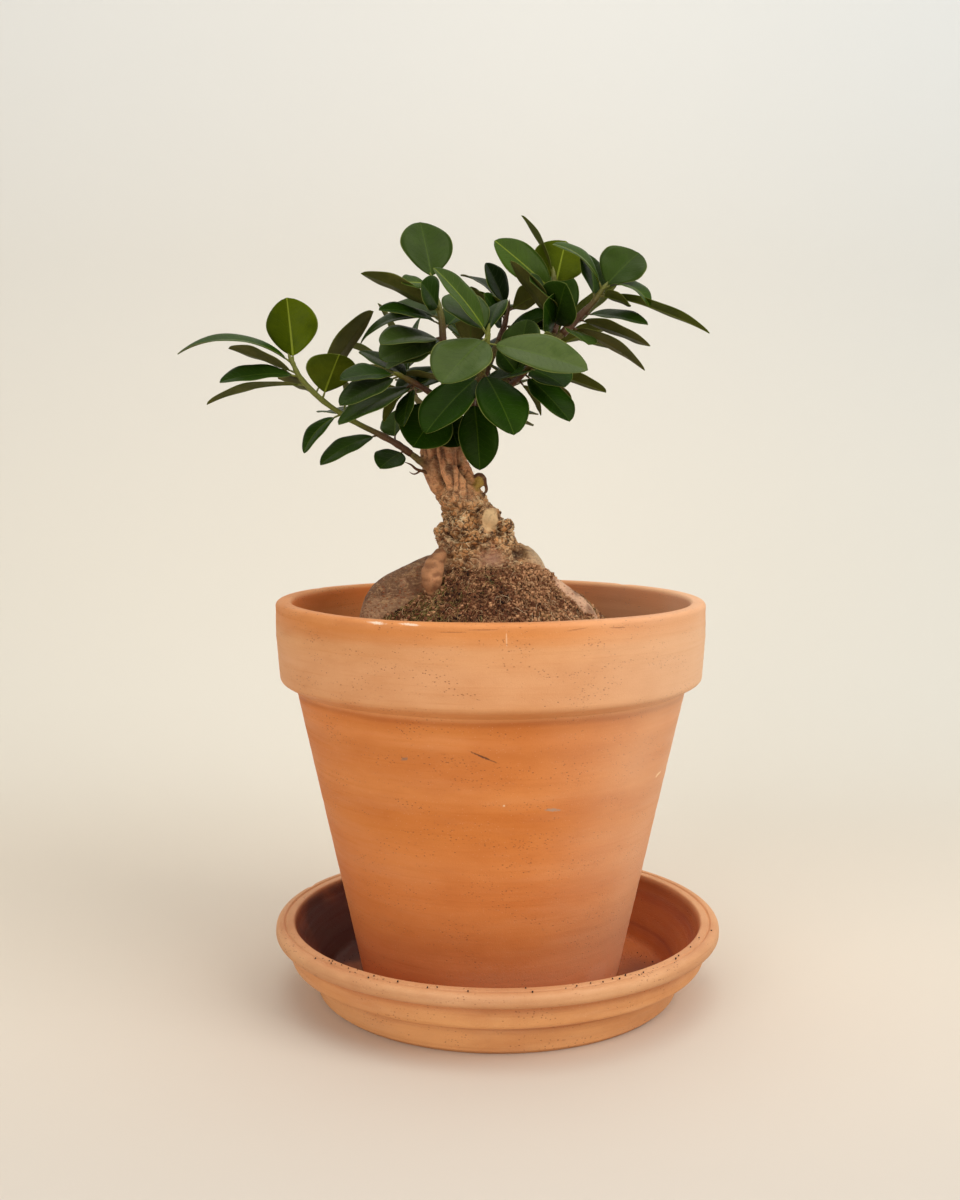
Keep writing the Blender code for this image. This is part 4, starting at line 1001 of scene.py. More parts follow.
def make_bark_flakes():
    """Curled flakes of bark, the cells of a scattered pattern. Each leans its own way, mostly
    upwards: its high side shows a pale edge, partly a torn edge's colour and partly a painted
    highlight, and its low side a dark gap of painted shade."""
    tree, given, result = new_group("bark flakes", {"Place": "Vector", "Scale": "Float"},
                                    {"Edge": "Float", "Shaded Gap": "Float", "Lean": "Float"})
    warp = add_node(tree, "TexNoise", {"Vector": given["Place"], "Scale": 0.3, "Detail": 3.0})[1]
    wander = add_node(tree, "VectorMath", {0: warp, "Scale": 4.0}, operation="SCALE")[0]
    moved = add_node(tree, "VectorMath", {0: given["Place"], 1: wander}, operation="ADD")[0]
    place = stretched(tree, moved, (1.0, 1.0, 1.4))
    scaled = add_node(tree, "VectorMath", {0: place, "Scale": given["Scale"]},
                      operation="SCALE")[0]
    cells = add_node(tree, "TexVoronoi", {"Vector": scaled, "Scale": 1.0})
    walls = add_node(tree, "TexVoronoi", {"Vector": scaled, "Scale": 1.0},
                     feature="DISTANCE_TO_EDGE")["Distance"]
    offset = add_node(tree, "VectorMath", {0: scaled, 1: cells["Position"]},
                      operation="SUBTRACT")[0]
    draw = add_node(tree, "SeparateColor", {"Color": cells["Color"]})
    turn = ranged(tree, draw[0], 0.0, 1.0, -1.3, 1.3)
    apart = add_node(tree, "SeparateXYZ", {0: offset})
    lean = plus(tree, times(tree, apart["Z"], maths(tree, "COSINE", turn)),
                times(tree, apart["X"], maths(tree, "SINE", turn)))
    rim = ranged(tree, walls, 0.24, 0.04)
    shown = ranged(tree, draw[1], 0.2, 0.6)
    high = times(tree, ranged(tree, lean, 0.02, 0.26), shown)
    tree.links.new(times(tree, high, rim), result["Edge"])
    tree.links.new(times(tree, ranged(tree, lean, 0.06, -0.24), rim), result["Shaded Gap"])
    tree.links.new(lean, result["Lean"])
    return tree


bark_flakes = make_bark_flakes()


def bark_finish():
    """Bark: each point's own tint, with flakes on the bole, speckles on the roots, and grain, and
    with painted highlight and painted shade that follow its relief.
    """
    finish, tree, shader = new_finish("ficus_bark")
    place = place_in_mm(tree)
    flaky_here = attribute(tree, "flaky")
    speckled_here = attribute(tree, "speckled")
    rough_here = attribute(tree, "rough")
    wide = use_group(tree, bark_flakes, {"Place": place, "Scale": 0.21})
    small = use_group(tree, bark_flakes, {"Place": place, "Scale": 0.4})
    edge = maths(tree, "MAXIMUM", wide["Edge"], times(tree, small["Edge"], 0.5))
    edge = times(tree, edge, flaky_here)
    gap_shade = maths(tree, "MAXIMUM", wide["Shaded Gap"], times(tree, small["Shaded Gap"], 0.4))
    gap_shade = times(tree, gap_shade, flaky_here)
    lean = times(tree, plus(tree, wide["Lean"], small["Lean"]), flaky_here)
    speck = specks_at(tree, stretched(tree, place, (1, 1, 1.6)), scale=0.42, size=0.4, share=0.6)
    speck = times(tree, speck, speckled_here)
    dots = specks_at(tree, stretched(tree, place, (1.3, 1.3, 1)), scale=0.5, size=0.36, share=0.4)
    dots = times(tree, dots, speckled_here)
    grain = fractal(tree, stretched(tree, place, (1, 1, 0.6)), scale=0.6, detail=6.0, roughness=0.7)
    scales = fractal(tree, stretched(tree, place, (1, 1, 1.8)), scale=0.28, detail=4.0,
                     roughness=0.6, distortion=1.2)
    colour = attribute(tree, "tint", "Color")
    # The tones below follow the bark's relief: paler where the scales rise, a painted highlight, and
    # darker where the grain and the scales sink, painted shade.
    dark = blended(tree, 1.0, colour, (0.26, 0.2, 0.16, 1), "MULTIPLY")
    pale = blended(tree, 0.5, colour, srgb(240, 194, 136))
    light = times(tree, ranged(tree, scales, 0.5, 0.64), rough_here)
    colour = laid(tree, colour, light, 0.6, pale)
    colour = blended(tree, ranged(tree, grain, 0.5, 0.3, 0.0, 0.45), colour, dark)
    shaded = times(tree, ranged(tree, scales, 0.46, 0.34), rough_here)
    colour = laid(tree, colour, shaded, 0.5, dark)
    colour = laid(tree, colour, dots, 0.25, srgb(208, 170, 132))
    colour = laid(tree, colour, speck, 0.7, srgb(138, 70, 36))
    # Painted shade in the flakes' gaps, and a pale edge on each flake that is partly its colour and
    # partly a painted highlight.
    colour = laid(tree, colour, gap_shade, 0.88, srgb(52, 25, 13))
    colour = laid(tree, colour, edge, 0.95, srgb(252, 220, 170))
    tree.links.new(colour, shader.inputs["Base Color"])
    tree.links.new(ranged(tree, grain, 0.3, 0.7, 0.6, 0.85), shader.inputs["Roughness"])
    shader.inputs["Specular IOR Level"].default_value = 0.3
    raised = plus(tree, maths(tree, "SUBTRACT", edge, gap_shade), times(tree, speck, 0.3))
    raised = plus(tree, raised, lean)
    rugged = times(tree, plus(tree, grain, scales), plus(tree, rough_here, 0.2))
    set_relief(tree, shader, plus(tree, raised, rugged), 1.3)
    return finish


twig_points, twig_faces = stacked([swept(path[None, :, :3], path[None, :, 3], 8)
                                   for path in twig_paths])
twig_tint = np.tile(tint(DEAD_TWIG_TINT), (len(twig_points), 1))
plain = np.zeros(len(twig_points))
trunk_points, trunk_faces = stacked([(skin, skin_faces), (twig_points, twig_faces)])
make_piece("trunk_bark", trunk_points, trunk_faces, [bark_finish()], "bark", ["trunk"],
           values={"tint": np.vstack([np.clip(skin_colour, 0, 1), twig_tint]),
                   "flaky": np.append(flaky, plain), "speckled": np.append(speckled, plain),
                   "rough": np.append(rough_bark, plain + 0.3)})


# The soil is dark, crumbly potting compost that fills the pot and is heaped up round the trunk.
# It was put in loose, so crumbs of it lie on top.
SOIL_LEVEL = 211.0
HEAP_CENTRE = (1.0, -6.0)
HEAP_FOOT_RADIUS = 73.0
HEAP_TOP_RADIUS = 26.0
HEAP_HEIGHT = 37.0
HEAP_HOLLOWNESS = 0.95
MOUND_CENTRE = (-73.0, -24.0)
MOUND_REACH = (15.0, 10.0)
MOUND_HEIGHT = 12.0
SOIL_WALL_GAP = 0.5
SOIL_STEPS = 180
CRUMB_COUNT = 1500
CRUMB_SIZES = (0.5, 1.9)
CRUMB_SQUASH = (0.45, 0.9)


def soil_height(x, y):
    """The level of the soil: flat at the wall, a heap that rises to the trunk, and a low mound
    of e^(-r^2) at the foot of the left root."""
    reach = np.hypot(x - HEAP_CENTRE[0], y - HEAP_CENTRE[1])
    rise = np.clip((HEAP_FOOT_RADIUS - reach) / (HEAP_FOOT_RADIUS - HEAP_TOP_RADIUS), 0, 1)
    off_mound = (((x - MOUND_CENTRE[0]) / MOUND_REACH[0]) ** 2
                 + ((y - MOUND_CENTRE[1]) / MOUND_REACH[1]) ** 2)
    return SOIL_LEVEL + HEAP_HEIGHT * rise ** HEAP_HOLLOWNESS + MOUND_HEIGHT * np.exp(-off_mound)


soil_floor = POT_FOOT + POT_FLOOR + 0.35
soil_wall = pot_inner_radius(SOIL_LEVEL) - SOIL_WALL_GAP
top_rings = [(radius, SOIL_LEVEL) for radius in np.linspace(0, soil_wall, 64)]
side_heights = np.array([POT_COLLAR_FOOT + INNER_STEP, POT_SHOULDER - INNER_STEP, soil_floor + 5])
side_rings = [(pot_inner_radius(height) - SOIL_WALL_GAP - 0.4, height) for height in side_heights]
soil_outline = top_rings + side_rings + [(pot_inner_radius(soil_floor) - 6, soil_floor),
                                         (0, soil_floor)]
soil_points, soil_faces, _, _ = turned_surface(np.array(soil_outline, dtype=float), SOIL_STEPS)
on_top = soil_points[:, 2] > SOIL_LEVEL - 1
rough = (0.9 * lattice_noise(soil_points, 5, 50) + 0.7 * lattice_noise(soil_points, 2.2, 51))
soil_points[on_top, 2] = (soil_height(*soil_points[on_top, :2].T) + rough[on_top] - 0.3)

scatter = np.random.default_rng(7)
crumb_reach = soil_wall * 0.985 * np.sqrt(scatter.uniform(0.3, 1, CRUMB_COUNT))
crumb_turn = scatter.uniform(0, 2 * np.pi, CRUMB_COUNT)
crumb_x = crumb_reach * np.cos(crumb_turn)
crumb_y = crumb_reach * np.sin(crumb_turn)
crumb_size = scatter.uniform(*CRUMB_SIZES, CRUMB_COUNT) ** 1.3
crumb_middle = np.stack([crumb_x, crumb_y, soil_height(crumb_x, crumb_y) + 0.2], axis=1)
inside_wall = crumb_reach + crumb_size * 1.3 < soil_wall
crumb_middle, crumb_size = crumb_middle[inside_wall], crumb_size[inside_wall]
cube = np.array([(x, y, z) for x in (-1, 1) for y in (-1, 1) for z in (-1, 1)], dtype=float)
cube_faces = np.array([(0, 1, 3, 2), (4, 6, 7, 5), (0, 4, 5, 1), (2, 3, 7, 6), (0, 2, 6, 4),
                       (1, 5, 7, 3)])


def crumb_cubes(middle, squash, size, fullness=1.0):
    """Crumbs: cubes round their middles, with each corner pulled in by its own squash."""
    points = middle[:, None] + cube * squash * size * fullness
    faces = cube_faces + 8 * np.arange(len(middle))[:, None, None]
    return points.reshape(-1, 3), [faces.reshape(-1, 4)]


squash = scatter.uniform(*CRUMB_SQUASH, (len(crumb_size), 8, 1))
crumbs = crumb_cubes(crumb_middle, squash, crumb_size[:, None, None], 0.75)


# A few crumbs fell on the saucer: along its lip at the front left, and round the pot's foot.
SPILT_COUNT = 42
lip_turn = np.radians(scatter.choice((-142, -134, -120, -104, -88, -66, -52, -32), SPILT_COUNT)
                      + scatter.normal(0, 7, SPILT_COUNT))
well_turn = np.radians(scatter.choice((-160, -172, 168, -22, -12, 2), SPILT_COUNT)
                       + scatter.normal(0, 8, SPILT_COUNT))
lip_reach = SAUCER_LIP_RADIUS - LIP_GROOVE + scatter.uniform(-3.6, 3.2, SPILT_COUNT)
well_reach = scatter.uniform(POT_BASE_RADIUS + 10, SAUCER_WELL_RADIUS - 3, SPILT_COUNT)
spilt_turn = np.append(lip_turn, well_turn)
spilt_reach = np.append(lip_reach, well_reach)
spilt_height = np.append(np.full(SPILT_COUNT, SAUCER_TOP), np.full(SPILT_COUNT, SAUCER_FLOOR))
spilt_size = scatter.uniform(0.2, 0.6, 2 * SPILT_COUNT)
spilt_middle = np.stack([spilt_reach * np.cos(spilt_turn) + SAUCER_SHIFT,
                         spilt_reach * np.sin(spilt_turn), spilt_height + 0.2], axis=1)
squash = scatter.uniform(*CRUMB_SQUASH, (2 * SPILT_COUNT, 8, 1))
spilt = crumb_cubes(spilt_middle, squash, spilt_size[:, None, None])


def soil_finish():
    """Damp compost: near black, with brown crumbs, and pale bits of grit and fibre."""
    finish, tree, shader = new_finish("potting_compost")
    place = place_in_mm(tree)
    clods = blotches_at(tree, place, scale=0.35, low=0.35, high=0.7)
    bits = specks_at(tree, place, scale=0.5, size=0.35, share=0.16)
    grain = fractal(tree, place, scale=1.5, detail=6.0)
    colour = blended(tree, clods, srgb(42, 25, 17), srgb(84, 54, 37))
    colour = laid(tree, colour, bits, 0.7, srgb(150, 118, 84))
    tree.links.new(colour, shader.inputs["Base Color"])
    tree.links.new(ranged(tree, grain, 0.3, 0.7, 0.8, 1.0), shader.inputs["Roughness"])
    set_relief(tree, shader, plus(tree, grain, clods), 0.9)
    return finish


soil_points, soil_faces = stacked([(soil_points, soil_faces), crumbs])
compost = soil_finish()
make_piece("soil_compost", soil_points, soil_faces, [compost], "potting_soil", ["soil"])
make_piece("spilt_crumbs", *spilt, [compost], "potting_soil")


# The root mat is a felt of fine brown roots that the plant grew over the heap, with moss on the
# damp side at the front left. It lies on the soil and thins out to its edge.
MAT_RADIUS = 72.0
MAT_THICKNESS = 4.5
MAT_EDGE = 1.6
FELT_STEPS = 240
FELT_RINGS = 76
FIBRE_SIDES = 3
FIBRE_POINTS = 7
FIBRE_LENGTHS = (2.5, 9.0)
FIBRE_RADII = (0.05, 0.13)
FIBRE_CURL = 0.45
GRAIN_COUNT = 12500
GRAIN_SIZES = (0.4, 1.5)
TRUNK_CLEARANCE = -0.6
MAT_GAP = 0.35

felt_radii = np.linspace(0, MAT_RADIUS, FELT_RINGS)
felt_outline = ([(radius, 1.0) for radius in felt_radii]
                + [(radius, 0.0) for radius in felt_radii[::-4]])
felt_outline[-1] = (0, 0.0)
felt_points, felt_faces, _, _ = turned_surface(np.array(felt_outline), FELT_STEPS)


def mat_lift(reach):
    """The mat's thickness at a share of its radius: even, and thin at the edge."""
    return MAT_EDGE + (MAT_THICKNESS - MAT_EDGE) * (1 - reach ** 4)


felt_top = felt_points[:, 2] > 0.5
felt_reach = np.hypot(felt_points[:, 0], felt_points[:, 1]) / MAT_RADIUS
felt_points[:, :2] += HEAP_CENTRE


def mat_lumps(x, y):
    """How the mat rises and falls: slow lumps, clods and crumbs."""
    flat = np.stack([x, y, np.zeros_like(x)], axis=-1).reshape(-1, 3)
    lumps = (1.2 * lattice_noise(flat, 11, 60) + 1.5 * lattice_noise(flat, 4.5, 61)
             + 0.9 * lattice_noise(flat, 2.1, 64))
    return lumps.reshape(x.shape)


lumps = mat_lumps(felt_points[:, 0], felt_points[:, 1])
felt_points[:, 2] = soil_height(*felt_points[:, :2].T) + MAT_GAP
felt_points[felt_top, 2] += (mat_lift(felt_reach) + lumps)[felt_top]


def felt_finish():
    """Matted fibres: many fine crossing strands in browns, with moss where the mesh says so."""
    finish, tree, shader = new_finish("root_felt")
    place = place_in_mm(tree)
    strands = []
    for turn in (0.4, 1.5, 2.5):
        turned_place = add_node(tree, "VectorRotate", {"Vector": place, "Angle": turn},
                                rotation_type="Z_AXIS")[0]
        long_way = stretched(tree, turned_place, (0.25, 2.0, 0.6))
        strands.append(fractal(tree, long_way, scale=0.8, detail=5.0, distortion=1.0))
    most = maths(tree, "MAXIMUM", maths(tree, "MAXIMUM", strands[0], strands[1]), strands[2])
    mossy = attribute(tree, "moss")
    clods = blotches_at(tree, place, scale=0.4, low=0.4, high=0.62)
    deep = blended(tree, clods, srgb(34, 18, 11), srgb(96, 56, 35))
    brown = blended(tree, ranged(tree, most, 0.55, 0.72), deep, srgb(168, 114, 78))
    green = blended(tree, ranged(tree, most, 0.5, 0.7), srgb(60, 50, 20), srgb(136, 124, 62))
    tree.links.new(blended(tree, mossy, brown, green), shader.inputs["Base Color"])
    tree.links.new(ranged(tree, most, 0.4, 0.8, 1.0, 0.85), shader.inputs["Roughness"])
    shader.inputs["Specular IOR Level"].default_value = 0.15
    set_relief(tree, shader, most, 1.2)
    return finish


def mossiness(points):
    """How mossy the mat is: most at the front left, in clumps."""
    x, y, _ = points.T
    side = ramp(x, -4, -36) * ramp(y, -8, -34)
    return np.clip(side * (0.45 + 0.8 * lattice_noise(points, 9, 62))
                   + 0.25 * ramp(lattice_noise(points, 14, 63), 0.35, 0.8), 0, 1)


make_piece("root_mat_felt", felt_points, felt_faces, [felt_finish()], "fine_roots", ["root_mat"],
           values={"moss": mossiness(felt_points)})


def fibre_tubes(count, lift, seed, wanted):
    """Fine roots that crawl over the felt: each starts at a random place and turns as it goes,
    its heading a start angle plus a bend and two waves. They rise to a low arch and taper to
    both ends. wanted picks the starts that are kept, and what would be inside the trunk goes.
    Also gives each point its root's tone, from 0 dark to 1 pale."""
    draw = np.random.default_rng(seed)
    reach = (MAT_RADIUS - 1) * np.sqrt(draw.uniform(0, 1, count))
    turn = draw.uniform(0, 2 * np.pi, count)
    start = np.stack([reach * np.cos(turn) + HEAP_CENTRE[0], reach * np.sin(turn) + HEAP_CENTRE[1],
                      np.zeros(count)], axis=1)
    kept = wanted(start) > draw.uniform(0, 1, count)
    start = start[kept]
    count = len(start)
    s = np.linspace(0, 1, FIBRE_POINTS)
    length = draw.uniform(*FIBRE_LENGTHS, (count, 1))
    bend = draw.normal(0, FIBRE_CURL, (count, 1)) * length * s
    heading = draw.uniform(0, 2 * np.pi, (count, 1)) + bend
    heading = heading + draw.uniform(0.2, 0.8, (count, 1)) * np.sin(
        draw.uniform(4, 9, (count, 1)) * s + draw.uniform(0, 6.28, (count, 1)))
    step = length / (FIBRE_POINTS - 1)
    x = start[:, :1] + np.cumsum(np.cos(heading) * step, axis=1)
    y = start[:, 1:2] + np.cumsum(np.sin(heading) * step, axis=1)
    edge = np.hypot(x - HEAP_CENTRE[0], y - HEAP_CENTRE[1]) / MAT_RADIUS
    z = soil_height(x, y) + MAT_GAP + mat_lift(np.clip(edge, 0, 1.1)) + mat_lumps(x, y)
    z += draw.uniform(-0.3, lift, (count, 1)) + draw.uniform(0, lift, (count, 1)) * np.sin(np.pi * s)
    paths = np.stack([x, y, z], axis=-1)
    trunk_room = np.min([clearance(paths.reshape(-1, 3), path) for path in thick_paths], axis=0)
    free = (trunk_room.reshape(x.shape).min(axis=1) > TRUNK_CLEARANCE) & (edge.max(axis=1) < 1.12)
    paths = paths[free]
    taper = np.sin(np.pi * (0.06 + 0.88 * s)) ** 0.5
    thickness = draw.uniform(*FIBRE_RADII, (len(paths), 1)) * taper
    clumps = 0.5 + 0.5 * lattice_noise(paths[:, 3], 6, seed)
    tone = np.clip(0.55 * clumps + 0.6 * draw.uniform(0, 1, len(paths)), 0, 1)
    points, faces = swept(paths, thickness, FIBRE_SIDES)
    return points, faces, np.repeat(tone, len(points) // len(paths))


def grain_bodies():
    """Crumbs of soil and bark caught in the mat: cubes with their corners pulled in. Also gives
    each point its crumb's tone, which goes in clumps."""
    draw = np.random.default_rng(90)
    reach = (MAT_RADIUS - 1.5) * np.sqrt(draw.uniform(0, 1, GRAIN_COUNT))
    turn = draw.uniform(0, 2 * np.pi, GRAIN_COUNT)
    x = reach * np.cos(turn) + HEAP_CENTRE[0]
    y = reach * np.sin(turn) + HEAP_CENTRE[1]
    z = (soil_height(x, y) + MAT_GAP + mat_lift(reach / MAT_RADIUS) + mat_lumps(x, y)
         + draw.uniform(-0.2, 0.8, GRAIN_COUNT))
    middle = np.stack([x, y, z], axis=1)
    free = np.min([clearance(middle, path) for path in thick_paths], axis=0) > TRUNK_CLEARANCE
    middle = middle[free]
    size = draw.uniform(GRAIN_SIZES[0] ** 0.5, GRAIN_SIZES[1] ** 0.5, (len(middle), 1, 1)) ** 2
    squash = draw.uniform(0.4, 1.0, (len(middle), 8, 1)) * draw.uniform(0.6, 1.1, (len(middle), 1, 3))
    points, faces = crumb_cubes(middle, squash, size, 0.8)
    pale_side = (0.45 * ramp(middle[:, 0], 0, 26) + 0.3 * ramp(middle[:, 2], 240, 250)
                 + 0.2 * ramp(middle[:, 0], -12, -32))
    tone = (0.36 + pale_side + 0.45 * lattice_noise(middle, 5, 91)
            + 0.35 * draw.uniform(-1, 1, len(middle)))
    return points, faces, np.repeat(np.clip(tone, 0, 1), 8)


def fibre_finish(name, dark, middle, pale):
    """Dry root or crumb: each one's own tone picks its colour, and it is dull."""
    finish, tree, shader = new_finish(name)
    tone = attribute(tree, "tone")
    drift = fractal(tree, place_in_mm(tree), scale=0.5, detail=3.0)
    colour = blended(tree, ranged(tree, tone, 0.0, 0.5), dark, middle)
    colour = blended(tree, ranged(tree, tone, 0.5, 1.0), colour, pale)
    colour = blended(tree, ranged(tree, drift, 0.5, 0.7, 0.0, 0.5), colour, dark)
    tree.links.new(colour, shader.inputs["Base Color"])
    tree.links.new(ranged(tree, drift, 0.3, 0.7, 0.7, 0.95), shader.inputs["Roughness"])
    shader.inputs["Specular IOR Level"].default_value = 0.2
    return finish


FIBRE_GROUPS = [
    ("fibres_brown", 7000, 1.0, 81, srgb(62, 34, 21), srgb(148, 94, 60), srgb(226, 174, 122),
     lambda start: 1 - 0.5 * mossiness(start)),
    ("fibres_tan", 2400, 1.4, 83, srgb(132, 88, 58), srgb(204, 160, 112), srgb(244, 214, 170),
     lambda start: 0.5 + 0.5 * ramp(start[:, 0], -10, 35)),
    ("moss_threads", 6400, 1.2, 84, srgb(70, 60, 22), srgb(136, 122, 62), srgb(200, 188, 118),
     mossiness),
]
for group_name, count, lift, seed, dark, middle, pale, wanted in FIBRE_GROUPS:
    points, faces, tone = fibre_tubes(count, lift, seed, wanted)
    make_piece(group_name, points, faces, [fibre_finish(group_name, dark, middle, pale)],
               "fine_roots", values={"tone": tone})
points, faces, tone = grain_bodies()
crumb_brown = fibre_finish("mat_crumbs", srgb(34, 18, 11), srgb(118, 72, 47), srgb(206, 154, 110))
make_piece("mat_crumbs", points, faces, [crumb_brown], "fine_roots", values={"tone": tone})


# The shoots are the ficus's green growth: each is a soft stem with oval, pointed, leathery
# leaves on short stalks, glossy above and dull below. They grew from the branches, and each
# leaf is folded along its midrib.
LEAF_THICKNESS = 0.45
LEAF_FOLD = 0.22
BLADE_FULLNESS = 0.62
WIDEST_SHARE = 0.46
BROAD_BLADE_SHIFT = 0.1
PETIOLE_LENGTH = 5.0
LONGEST_PETIOLE_SHARE = 0.2
LAST_SEAT = 0.985
BLADE_ROWS = 26
BLADE_COLUMNS = 13
STEM_SIDES = 10
PETIOLE_SIDES = 8
PETIOLE_RADIUS = 0.75
BUD_LENGTH = 6.0
STEM_ROOTED = 1.2
BUD_RADII = (1.25, 1.3, 1.15, 0.85, 0.5, 0.12)
STALK_TAPER = (1.0, 0.85, 0.78, 0.75, 0.7, 0.4)
NODE_SWELLING = 0.35
WOODY_REACH = (42.0, 14.0)
USUAL_SHEEN = 0.05
MIDRIB_GROOVE = 0.16
MIDRIB_DEPTH = 0.42
LEAF_DIVERGENCE = 137.5
TURN_RANGE = (-12.0, 12.0)
TILT_RANGE = (45.0, 65.0)
LENGTH_RANGE = (36.0, 46.0)
SLIMNESS_RANGE = (0.5, 0.62)
ROLL_RANGE = (-20.0, 20.0)
BEND_RANGE = (10.0, 35.0)
FIRST_LEAF = 0.12
LOWEST_REACH = -0.1
